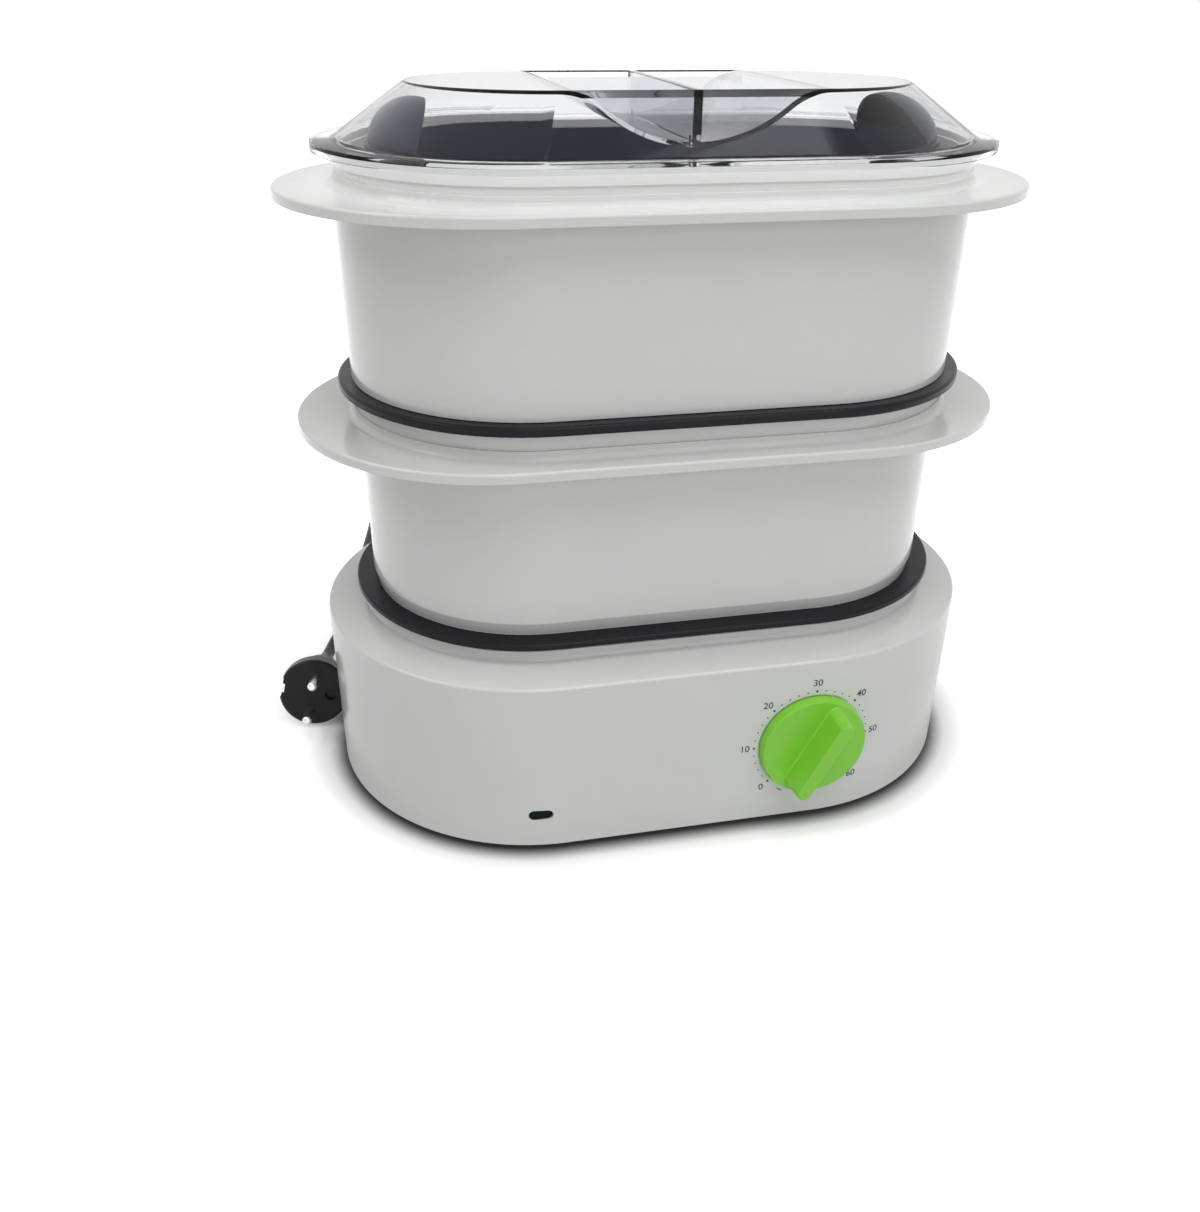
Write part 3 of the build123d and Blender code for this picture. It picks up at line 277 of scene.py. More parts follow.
class SteamerSettings(bpy.types.PropertyGroup):
    camera: PointerProperty(type=SteamerCameraSettings)
    studio: PointerProperty(type=SteamerStudioSettings)
    plastic: PointerProperty(type=SteamerPlasticSettings)
    dial: PointerProperty(type=SteamerDialSettings)
    knob: PointerProperty(type=SteamerKnobSettings)
    cord: PointerProperty(type=SteamerCordSettings)
    lid: PointerProperty(type=SteamerLidSettings)


def settings():
    """The values that the scene holds for every step."""
    return bpy.context.scene.steamer_settings


# ---------------------------------------------------------------- node helpers
class Graph:
    """A node tree with short calls for adding and joining nodes."""

    def __init__(self, tree):
        self.tree = tree

    def add(self, kind, **values):
        node = self.tree.nodes.new(kind)
        for name, value in values.items():
            setattr(node, name, value)
        return node

    def join(self, source, target):
        self.tree.links.new(source, target)

    def feed(self, value, target):
        """Joins an output to an input, or sets the input to a plain value."""
        if isinstance(value, bpy.types.NodeSocket):
            self.join(value, target)
        else:
            target.default_value = value


def coordinates(graph, scale=(1, 1, 1)):
    """Object coordinates, stretched."""
    place = graph.add("ShaderNodeTexCoord")
    mapping = graph.add("ShaderNodeMapping")
    mapping.inputs["Scale"].default_value = scale
    graph.join(place.outputs["Object"], mapping.inputs["Vector"])
    return mapping.outputs["Vector"]


def noise(graph, scale, detail=2.0, stretch=(1, 1, 1)):
    """Soft noise in the object's own space, its scale per metre."""
    texture = graph.add("ShaderNodeTexNoise")
    graph.feed(scale, texture.inputs["Scale"])
    texture.inputs["Detail"].default_value = detail
    graph.join(coordinates(graph, stretch), texture.inputs["Vector"])
    return texture.outputs["Fac"]


def ramp(graph, value, given, made, kind="LINEAR"):
    """A value that runs between the two given numbers, made to run between two others."""
    node = graph.add("ShaderNodeMapRange", interpolation_type=kind)
    names = ("Value", "From Min", "From Max", "To Min", "To Max")
    for name, number in zip(names, (value, *given, *made)):
        graph.feed(number, node.inputs[name])
    return node.outputs["Result"]


def spread(graph, value, low, high):
    """A noise's value made to run from low to high."""
    return ramp(graph, value, (NOISE_LOW, NOISE_HIGH), (low, high))


def maths(graph, operation, first, second):
    """One sum of two values or outputs."""
    node = graph.add("ShaderNodeMath", operation=operation)
    for socket, value in zip(node.inputs, (first, second)):
        graph.feed(value, socket)
    return node.outputs["Value"]


def blend(graph, share, first, second, kind="MIX"):
    """Colour that turns from first to second as share goes from 0 to 1."""
    node = graph.add("ShaderNodeMix", data_type="RGBA", blend_type=kind)
    for socket, value in ((MIX_SHARE, share), (MIX_A, first), (MIX_B, second)):
        graph.feed(value, node.inputs[socket])
    return node.outputs[MIX_RESULT]


def either(graph, share, first, second, output):
    """Shows the first shader where share is 0 and the second where it is 1."""
    mix = graph.add("ShaderNodeMixShader")
    for socket, source in zip(mix.inputs, (share, first.outputs[0], second.outputs[0])):
        graph.join(source, socket)
    graph.join(mix.outputs["Shader"], output.inputs["Surface"])


def moulded_group():
    """Moulded plastic: slight unevenness of colour, handling marks and a fine skin."""
    name = "moulded plastic"
    if name in bpy.data.node_groups:
        return bpy.data.node_groups[name]
    tree = bpy.data.node_groups.new(name, "ShaderNodeTree")
    for title, kind, value in (
            ("Colour", "NodeSocketColor", (0.8, 0.8, 0.8, 1)), ("Unevenness", "NodeSocketFloat", 0.03),
            ("Roughness", "NodeSocketFloat", 0.3), ("Marks", "NodeSocketFloat", 0.1),
            ("Skin", "NodeSocketFloat", 0.05), ("Skin Scale", "NodeSocketFloat", 900.0)):
        socket = tree.interface.new_socket(title, in_out="INPUT", socket_type=kind)
        socket.default_value = value
    for title, kind in (("Colour", "NodeSocketColor"), ("Roughness", "NodeSocketFloat"),
                        ("Normal", "NodeSocketVector")):
        tree.interface.new_socket(title, in_out="OUTPUT", socket_type=kind)
    graph = Graph(tree)
    given = graph.add("NodeGroupInput").outputs
    result = graph.add("NodeGroupOutput").inputs

    # colour: wide soft clouds, a little lighter and darker
    clouds = noise(graph, 22.0, 3.0)
    lower = maths(graph, "SUBTRACT", 1.0, given["Unevenness"])
    tone = spread(graph, clouds, lower, 1.0)
    graph.join(blend(graph, 1.0, given["Colour"], tone, "MULTIPLY"), result["Colour"])

    # roughness: smears of handling and fine wiping lines
    smears = spread(graph, noise(graph, 60.0, 4.0), 0.0, given["Marks"])
    wiping = spread(graph, noise(graph, 160.0, 5.0, (1, 1, 9)), 0.0, given["Marks"])
    marks = maths(graph, "MULTIPLY", maths(graph, "ADD", smears, wiping), 0.5)
    graph.join(maths(graph, "ADD", given["Roughness"], marks), result["Roughness"])

    # skin: the mould's fine surface and a long slow waviness
    skin = graph.add("ShaderNodeBump")
    waves = graph.add("ShaderNodeBump")
    for bump, distance, strength, height in (
            (skin, 0.0001, given["Skin"], noise(graph, given["Skin Scale"])),
            (waves, 0.001, 0.04, noise(graph, 28.0, 1.0))):
        bump.inputs["Distance"].default_value = distance
        graph.feed(strength, bump.inputs["Strength"])
        graph.join(height, bump.inputs["Height"])
    graph.join(skin.outputs["Normal"], waves.inputs["Normal"])
    graph.join(waves.outputs["Normal"], result["Normal"])
    return tree


def new_material(name):
    """A material with its graph, its one Principled shader and its output."""
    material = bpy.data.materials.new(name)
    material.use_nodes = True
    material.node_tree.nodes.clear()
    graph = Graph(material.node_tree)
    output = graph.add("ShaderNodeOutputMaterial")
    shader = graph.add("ShaderNodeBsdfPrincipled")
    graph.join(shader.outputs["BSDF"], output.inputs["Surface"])
    return material, graph, shader, output


def moulded(name, colour, roughness=0.25, unevenness=0.03, marks=0.08, skin=0.05, skin_scale=900.0,
            gloss=0.5, metallic=0.0, subsurface=0.0):
    """Material of a moulded or plain finished piece."""
    if name in bpy.data.materials:
        return bpy.data.materials[name]
    material, graph, shader, _ = new_material(name)
    surface = graph.add("ShaderNodeGroup", node_tree=moulded_group())
    for title, value in (("Colour", (*colour, 1)), ("Unevenness", unevenness), ("Roughness", roughness),
                         ("Marks", marks), ("Skin", skin), ("Skin Scale", skin_scale)):
        surface.inputs[title].default_value = value
    for title, socket in (("Colour", "Base Color"), ("Roughness", "Roughness"), ("Normal", "Normal")):
        graph.join(surface.outputs[title], shader.inputs[socket])
    for title, value in (("Metallic", metallic), ("Specular IOR Level", gloss),
                         ("Subsurface Weight", subsurface), ("Subsurface Scale", 3 * MM)):
        shader.inputs[title].default_value = value
    return material


def clear_plastic(name, colour, roughness):
    """Clear or tinted see-through plastic with faint wiping marks."""
    if name in bpy.data.materials:
        return bpy.data.materials[name]
    material, graph, shader, output = new_material(name)
    shader.inputs["Base Color"].default_value = (*colour, 1)
    shader.inputs["Transmission Weight"].default_value = 1.0
    shader.inputs["IOR"].default_value = 1.2
    marks = spread(graph, noise(graph, 90.0, 4.0), roughness, roughness + 0.03)
    graph.join(marks, shader.inputs["Roughness"])

    # the lamps light what stands behind the wall, and each face that they pass tints their light
    through = graph.add("ShaderNodeBsdfTransparent")
    through.inputs["Color"].default_value = (*colour, 1)
    path = graph.add("ShaderNodeLightPath")
    either(graph, path.outputs["Is Shadow Ray"], shader, through, output)
    return material


def dress(material, *nodes):
    """Gives CAD nodes' objects one material."""
    for node in nodes:
        slots = NODES[node].material_slots
        if not slots:
            NODES[node].data.materials.append(material)
        for slot in slots:
            slot.material = material


# ---------------------------------------------------------------- mesh helpers
def placed(name, data):
    """A new object in the scene."""
    item = bpy.data.objects.new(name, data)
    bpy.context.scene.collection.objects.link(item)
    return item


def solid(bm, name="blank"):
    """A new object with the bmesh's faces."""
    mesh = bpy.data.meshes.new(name)
    bm.to_mesh(mesh)
    bm.free()
    return placed(name, mesh)


def drop(piece):
    """Removes an object with its mesh."""
    mesh = piece.data
    bpy.data.objects.remove(piece)
    bpy.data.meshes.remove(mesh)


def finished(bm, name, material, body):
    """Turns a bmesh into a piece that rides on a body."""
    piece = solid(bm, name)
    piece.data.materials.append(material)
    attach(piece, body)
    return piece


def round_ended(bm, straight, radius, height, closed, steps):
    """A ring with two round ends: a circle with its halves moved apart."""
    turned = Matrix.Translation((0, 0, height)) @ Matrix.Rotation(pi / steps, 4, "Z")
    made = bmesh.ops.create_circle(bm, cap_ends=closed, segments=steps, radius=radius, matrix=turned)
    ring = made["verts"]
    for side in (-1, 1):
        half = [vertex for vertex in ring if vertex.co.x * side > 0]
        bmesh.ops.translate(bm, vec=(side * straight, 0, 0), verts=half)
    return list({edge for vertex in ring for edge in vertex.link_edges})


def stack_of(rings, place, steps=96):
    """Closed solid through rings, each given as straight, radius and height."""
    bm = bmesh.new()
    below = None
    for number, ring in enumerate(rings):
        loop = round_ended(bm, *ring, number in (0, len(rings) - 1), steps)
        if below:
            bmesh.ops.bridge_loops(bm, edges=below + loop)
        below = loop
    bmesh.ops.recalc_face_normals(bm, faces=bm.faces)
    bmesh.ops.transform(bm, matrix=place, verts=bm.verts)
    return bm


def change(piece, operation, tool):
    """Cuts a shape out of a blank or joins it on. The tool is a bmesh or an object, and is used up."""
    if isinstance(tool, bmesh.types.BMesh):
        tool = solid(tool)
    cut = piece.modifiers.new("cut", "BOOLEAN")
    cut.operation = operation
    cut.solver = "EXACT"
    cut.object = tool
    graph = bpy.context.evaluated_depsgraph_get()
    mesh = bpy.data.meshes.new_from_object(piece.evaluated_get(graph))
    piece.modifiers.clear()
    before, piece.data = piece.data, mesh
    bpy.data.meshes.remove(before)
    drop(tool)
    if not mesh.polygons:
        raise RuntimeError("a cut left nothing of the piece")


def softened(piece, wide_area):
    """The blank's mesh, smooth over its rounds, crisp elsewhere and round its wide flat faces."""
    bm = bmesh.new()
    bm.from_mesh(piece.data)
    drop(piece)
    bmesh.ops.remove_doubles(bm, verts=bm.verts, dist=0.005 * MM)
    for face in bm.faces:
        face.smooth = True
    for edge in bm.edges:
        wide = any(face.calc_area() > wide_area for face in edge.link_faces)
        gentle = len(edge.link_faces) == 2 and edge.calc_face_angle(0) < SHARP_FROM
        edge.smooth = gentle and not wide
    return bm


def wall_y(x, z):
    """Front of the base housing's wall at a place seen from the front."""
    radius = BASE_RADIUS - WALL_DRAFT * (SHOULDER_Z - z) / (SHOULDER_Z - HOUSING_LOW.z)
    beyond = max(abs(x) - HALF_STRAIGHT, 0)
    return MIDDLE_Y - sqrt(radius ** 2 - beyond ** 2)


# ---------------------------------------------------------------- studio
def look(camera, given):
    """Turns and places the camera from its three angles."""
    turn, dip, roll = given.turn, given.dip, given.roll
    ahead = Vector((sin(turn) * cos(dip), cos(turn) * cos(dip), -sin(dip)))
    level_right = Vector((cos(turn), -sin(turn), 0))
    level_up = level_right.cross(ahead)
    right = level_right * cos(roll) + level_up * sin(roll)
    up = level_up * cos(roll) - level_right * sin(roll)
    facing = Matrix((right, up, -ahead)).transposed().to_4x4()
    camera.matrix_world = Matrix.Translation(given.place) @ facing


class STEAMER_OT_studio(bpy.types.Operator):
    """Camera, lamps, world and floor"""
    bl_idname = "steamer.studio"
    bl_label = "Studio"

    def execute(self, context):
        self.camera(context)
        self.lamps()
        self.world()
        self.floor()
        return {"FINISHED"}

    def camera(self, context):
        given = settings().camera
        data = bpy.data.cameras.new("camera")
        data.sensor_width = 36
        data.lens = given.lens
        data.shift_y = given.shift_y
        data.clip_start = 0.01
        camera = placed("camera", data)
        look(camera, given)
        context.scene.camera = camera
        context.scene.view_settings.view_transform = "Standard"

    def lamps(self):
        for name, place, target, size in LAMPS:
            data = bpy.data.lights.new(name, "AREA")
            data.shape = "RECTANGLE"
            data.size, data.size_y = size
            data.energy = getattr(settings().studio, name + "_power")
            lamp = placed(name, data)
            lamp.location = place
            lamp.rotation_euler = (Vector(target) - Vector(place)).to_track_quat("-Z", "Y").to_euler()

    def world(self):
        """Pale light from all round, plain white where it is looked at."""
        world = bpy.data.worlds.new("studio")
        bpy.context.scene.world = world
        world.use_nodes = True
        world.node_tree.nodes.clear()
        graph = Graph(world.node_tree)
        output = graph.add("ShaderNodeOutputWorld")
        sky = graph.add("ShaderNodeBackground")
        seen = graph.add("ShaderNodeBackground")
        for background, strength in ((sky, settings().studio.sky), (seen, 1.0)):
            background.inputs["Strength"].default_value = strength
            background.inputs["Color"].default_value = WHITE
        either(graph, self.looked_at(graph), sky, seen, output)

    def looked_at(self, graph):
        """1 where the ray comes from the eye, a reflection or a clear piece."""
        path = graph.add("ShaderNodeLightPath").outputs
        seen = maths(graph, "MAXIMUM", path["Is Camera Ray"], path["Is Glossy Ray"])
        return maths(graph, "MAXIMUM", seen, path["Is Transmission Ray"])

    def gap(self, graph):
        """Distance along the floor from the base's outline."""
        place = graph.add("ShaderNodeSeparateXYZ")
        graph.join(coordinates(graph), place.inputs["Vector"])
        beyond = maths(graph, "SUBTRACT", maths(graph, "ABSOLUTE", place.outputs["X"], 0), HALF_STRAIGHT)
        across = maths(graph, "SUBTRACT", place.outputs["Y"], MIDDLE_Y)
        reach = graph.add("ShaderNodeCombineXYZ")
        graph.join(maths(graph, "MAXIMUM", beyond, 0), reach.inputs["X"])
        graph.join(across, reach.inputs["Y"])
        length = graph.add("ShaderNodeVectorMath", operation="LENGTH")
        graph.join(reach.outputs["Vector"], length.inputs["Vector"])
        return maths(graph, "SUBTRACT", length.outputs["Value"], BASE_RADIUS)

    def rise(self, graph, value, start, end, height):
        """0 up to start, height from end on, smooth between."""
        return ramp(graph, value, (start, end), (0, height), "SMOOTHSTEP")

    def floor(self):
        """A wide white disc with the steamer's shadow from the lamps, a painted shadow line at its feet and
        painted shade round the base.
        """
        given = settings().studio
        bm = bmesh.new()
        bmesh.ops.create_circle(bm, cap_ends=True, segments=96, radius=FLOOR_RADIUS)
        floor = solid(bm, "floor")
        material, graph, shader, _ = new_material("floor")
        path = graph.add("ShaderNodeLightPath")
        gap = self.gap(graph)
        # painted shadow line at the feet: the colour that the camera sees turns dark near the base's
        # outline
        painted_shadow = self.rise(graph, gap, SHADOW_PAINT_START, SHADOW_PAINT_END, 1)
        seen = blend(graph, painted_shadow, SHADOW_PAINT_DARK, SHADOW_PAINT_PALE)
        colour = blend(graph, path.outputs["Is Camera Ray"], (*given.floor_colour, 1), seen)
        graph.join(colour, shader.inputs["Base Color"])
        shader.inputs["Roughness"].default_value = 0.7
        shader.inputs["Specular IOR Level"].default_value = 0.1
        shader.inputs["Emission Color"].default_value = WHITE
        # the glows rise with the distance from the base, so the floor is left darker round it: painted
        # shade
        near = self.rise(graph, gap, *NEAR_GLOW)
        far = self.rise(graph, gap, FAR_GLOW_START, given.floor_reach, FAR_GLOW)
        glow = maths(graph, "MULTIPLY", self.looked_at(graph), maths(graph, "ADD", near, far))
        graph.join(glow, shader.inputs["Emission Strength"])
        floor.data.materials.append(material)


# ---------------------------------------------------------------- mains lead
def step_after(turn, start):
    """0 up to a turn of the coil, 1 once the step is done."""
    return min(max((turn - start) / COIL_STEP, 0), 1)


def coil_points():
    """Two turns side by side on the floor and the rest on top of them."""
    outer = COIL_MIDDLE + CORD_RADIUS
    inner = COIL_MIDDLE - CORD_RADIUS
    count = round(COIL_TURNS * POINTS_PER_TURN)
    points = []
    for step in range(count + 1):
        turn = step / POINTS_PER_TURN
        inward = step_after(turn, COIL_MOVES_IN) - step_after(turn, COIL_MOVES_OUT)
        radius = outer + (inner - outer) * inward
        height = CORD_RADIUS * (1 + 2 * step_after(turn, COIL_CLIMBS))
        angle = 2 * pi * turn
        x, y = COIL_CENTRE
        points.append((x + radius * cos(angle), y + radius * sin(angle), height))
    return points


class STEAMER_OT_cord(bpy.types.Operator):
    """Mains lead with its coil, and the plug and strain relief on it"""
    bl_idname = "steamer.cord"
    bl_label = "Mains lead"

    def execute(self, context):
        plastic = settings().plastic
        sheath = moulded("cord sheath", plastic.black, roughness=0.38, unevenness=0.1, marks=0.12,
                         skin=0.25, skin_scale=1500.0, gloss=0.25)
        points = LEAD_ROUTE + coil_points() + POWER_ROUTE + self.plug_end()
        data = bpy.data.curves.new("mains_cord", "CURVE")
        data.dimensions = "3D"
        line = data.splines.new("NURBS")
        line.points.add(len(points) - 1)
        for point, place in zip(line.points, points):
            point.co = (*(value * MM for value in place), 1)
        line.order_u = 3
        line.use_endpoint_u = True
        line.resolution_u = 8
        data.bevel_depth = CORD_RADIUS * MM
        data.bevel_resolution = 5
        data.materials.append(sheath)
        cord = placed("mains_cord", data)
        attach(cord, "base")
        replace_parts(cord, "cord_lead", "cord_coil", "power_cord")
        boot = moulded("plug plastic", plastic.black, roughness=0.32, unevenness=0.08, marks=0.1, skin=0.2,
                       skin_scale=1100.0, gloss=0.18)
        dress(boot, "cord_gland", "plug_body", "cord_tail")
        nickel = moulded("nickel plate", (0.72, 0.71, 0.68), roughness=0.16, unevenness=0.05, marks=0.15,
                         skin=0.05, metallic=1.0)
        dress(nickel, "plug_pins", "plug_earth_clips")
        return {"FINISHED"}

    def plug_end(self):
        """The last two points, in line with the back of the plug."""
        out = Vector((sin(PLUG_YAW) * cos(PLUG_TILT), -cos(PLUG_YAW) * cos(PLUG_TILT), sin(PLUG_TILT)))
        return [tuple(Vector(PLUG_FACE) - out * reach) for reach in PLUG_REACHES]


# ---------------------------------------------------------------- base
class STEAMER_OT_base(bpy.types.Operator):
    """Base housing, cover, feet and pilot light"""
    bl_idname = "steamer.base"
    bl_label = "Base"

    def execute(self, context):
        plastic = settings().plastic
        white = moulded("white plastic", plastic.white, roughness=0.14, unevenness=0.025, marks=0.05,
                        skin=0.04, subsurface=0.1)
        dress(white, "base_housing")
        dress(moulded("cover plastic", (0.6, 0.6, 0.585), roughness=0.5, skin=0.3), "bottom_cover")
        dress(moulded("foot rubber", (0.02, 0.02, 0.02), roughness=0.75, skin=0.4), "rubber_feet")
        window = moulded("pilot window", (0.006, 0.014, 0.006), roughness=0.3, marks=0.03, gloss=0.05)
        dress(window, "pilot_lens")
        dress(clear_plastic("neon lamp", (0.95, 0.85, 0.75), 0.05), "pilot_lamp")
        return {"FINISHED"}


class STEAMER_OT_dial(bpy.types.Operator):
    """Printed dots, numbers and off mark round the knob"""
    bl_idname = "steamer.dial"
    bl_label = "Dial print"

    def execute(self, context):
        given = settings().dial
        ink = moulded("dial ink", settings().plastic.ink, roughness=0.4, unevenness=0.1, skin=0.1)
        bm = bmesh.new()
        for step in range(DIAL_STEPS + 1):
            minute = step * given.minutes / DIAL_STEPS
            angle = radians(DIAL_START + DIAL_SWEEP * minute / given.minutes)
            numbered = step % STEPS_PER_NUMBER == 0
            radius = given.big_dot if numbered else given.small_dot
            self.disc(bm, self.on_ring(angle, given.dot_ring), radius)
            if numbered:
                self.number(bm, str(round(minute)), self.on_ring(angle, given.number_ring))
        self.dash(bm, radians(OFF_MARK), given.dot_ring + 1.0 * MM)
        self.lay_on_wall(bm)
        finished(bm, "dial_print", ink, "base")
        return {"FINISHED"}

    def on_ring(self, angle, radius):
        """Place on a ring round the knob, its angle clockwise from straight up."""
        return Vector((KNOB_X + radius * sin(angle), 0, KNOB_Z + radius * cos(angle)))

    def disc(self, bm, place, radius):
        facing = Matrix.Translation(place) @ Matrix.Rotation(pi / 2, 4, "X")
        bmesh.ops.create_circle(bm, cap_ends=True, segments=20, radius=radius, matrix=facing)

    def dash(self, bm, angle, radius):
        """The off mark, a short line along the ring."""
        facing = (Matrix.Translation(self.on_ring(angle, radius)) @ Matrix.Rotation(angle, 4, "Y")
                  @ Matrix.Rotation(pi / 2, 4, "X"))
        made = bmesh.ops.create_grid(bm, x_segments=6, y_segments=1, size=1.0)
        bmesh.ops.scale(bm, vec=(1.3 * MM, 0.28 * MM, 1), verts=made["verts"])
        bmesh.ops.transform(bm, matrix=facing, verts=made["verts"])

    def number(self, bm, words, place):
        """A number as a flat outline, cut fine enough to follow the wall."""
        data = bpy.data.curves.new("number", "FONT")
        data.body = words
        data.size = settings().dial.number_height * LETTER_SIZE
        data.offset = LETTER_GROWTH
        data.align_x = data.align_y = "CENTER"
        letters = placed("number", data)
        mesh = bpy.data.meshes.new_from_object(letters)
        mesh.transform(Matrix.Translation(place) @ Matrix.Rotation(pi / 2, 4, "X"))
        bm.from_mesh(mesh)
        bpy.data.objects.remove(letters)
        bpy.data.curves.remove(data)
        bpy.data.meshes.remove(mesh)

    def lay_on_wall(self, bm):
        """Cuts the print into narrow strips and lays it on the curved wall, facing out."""
        for strip in range(1, PRINT_STRIPS):
            x = KNOB_X - PRINT_REACH + 2 * PRINT_REACH * strip / PRINT_STRIPS
            bmesh.ops.bisect_plane(bm, geom=bm.verts[:] + bm.edges[:] + bm.faces[:], plane_co=(x, 0, 0),
                                   plane_no=(1, 0, 0))
        bmesh.ops.remove_doubles(bm, verts=bm.verts, dist=0.001 * MM)
        for vertex in bm.verts:
            vertex.co.y = wall_y(vertex.co.x, vertex.co.z) - INK_HEIGHT
        bmesh.ops.recalc_face_normals(bm, faces=bm.faces)
        for face in bm.faces:
            if face.normal.y > 0:
                face.normal_flip()


class STEAMER_OT_timer(bpy.types.Operator):
    """Knob, shaft and clockwork timer"""
    bl_idname = "steamer.timer"
    bl_label = "Timer"

    def execute(self, context):
        plastic = settings().plastic
        green = moulded("green plastic", plastic.green, roughness=0.28, unevenness=0.04, marks=0.06,
                        skin=0.08, subsurface=0.1)
        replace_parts(finished(self.knob(), "grip_knob", green, "timer_knob"), "timer_knob")
        steel = moulded("plain steel", (0.58, 0.57, 0.55), roughness=0.32, unevenness=0.1, marks=0.2,
                        skin=0.1, metallic=1.0)
        black = moulded("black plastic", (0.03, 0.03, 0.032), roughness=0.45, skin=0.2)
        dress(steel, "timer_shaft", "timer_bracket", "timer_bell", "timer_screws")
        dress(black, "timer_body")
        return {"FINISHED"}

    def knob(self):
        """Disc with a straight bar across it, and a dimple at the end that points."""
        given = settings().knob
        along = Vector((sin(given.pointer), 0, cos(given.pointer)))
        out = Vector((0, -1, 0))
        facing = Matrix((along, out.cross(along), out)).transposed().to_4x4()
        place = Matrix.Translation((KNOB_X, wall_y(KNOB_X, KNOB_Z), KNOB_Z)) @ facing
        rim, front, back = given.disc_radius, given.disc_height, -0.3 * MM
        knob = solid(stack_of((
            (0, rim - 0.2 * MM, back),
            (0, rim, back + 0.2 * MM),
            (0, rim - 0.4 * MM, front - 0.6 * MM),
            (0, rim - 0.6 * MM, front - 0.15 * MM),
            (0, rim - 1.1 * MM, front)), place, 128))
        hollow = ((0, rim - 2.2 * MM, back - MM), (0, rim - 2.4 * MM, front - 2.2 * MM))
        change(knob, "DIFFERENCE", stack_of(hollow, place, 128))
        hub = 6 * MM
        change(knob, "UNION", stack_of(((0, hub, back + MM), (0, hub, front - MM)), place, 64))
        straight, foot, top = given.bar_straight, given.bar_foot, given.bar_radius
        high = given.bar_height
        change(knob, "UNION", stack_of((
            (straight, foot + 0.5 * MM, front - 0.1 * MM),
            (straight, foot + 0.15 * MM, front + 0.25 * MM),
            (straight, foot, front + 0.7 * MM),
            (straight, top + 0.05 * MM, high - 0.6 * MM),
            (straight, top - 0.15 * MM, high - 0.15 * MM),
            (straight, top - 0.6 * MM, high)), place, 64))
        dimple = bmesh.new()
        mark = place @ Matrix.Translation((straight + 0.4 * MM, 0, high + 0.3 * MM))
        bmesh.ops.create_uvsphere(dimple, u_segments=24, v_segments=12, radius=0.95 * MM, matrix=mark)
        change(knob, "DIFFERENCE", dimple)
        return softened(knob, wide_area=60 * MM ** 2)


# ---------------------------------------------------------------- stack
class STEAMER_OT_stack(bpy.types.Operator):
    """Tank, steam ring, drip tray, baskets and bowl"""
    bl_idname = "steamer.stack"
    bl_label = "Stack"

    def execute(self, context):
        plastic = settings().plastic
        dress(bpy.data.materials["white plastic"], "lower_basket", "upper_basket")
        dress(moulded("tank plastic", (0.62, 0.62, 0.6), roughness=0.35, marks=0.15), "water_tank")
        dress(moulded("ring plastic", (0.66, 0.66, 0.64), roughness=0.35, marks=0.15), "steam_ring")
        charcoal = moulded("charcoal plastic", plastic.charcoal, roughness=0.24, unevenness=0.08,
                           marks=0.1, skin=0.15, gloss=0.12)
        dress(charcoal, "drip_tray", "basket_floor")
        navy = moulded("navy plastic", plastic.navy, roughness=0.3, unevenness=0.06, marks=0.1, skin=0.12,
                       gloss=0.15)
        dress(navy, "insert_bowl")
        return {"FINISHED"}


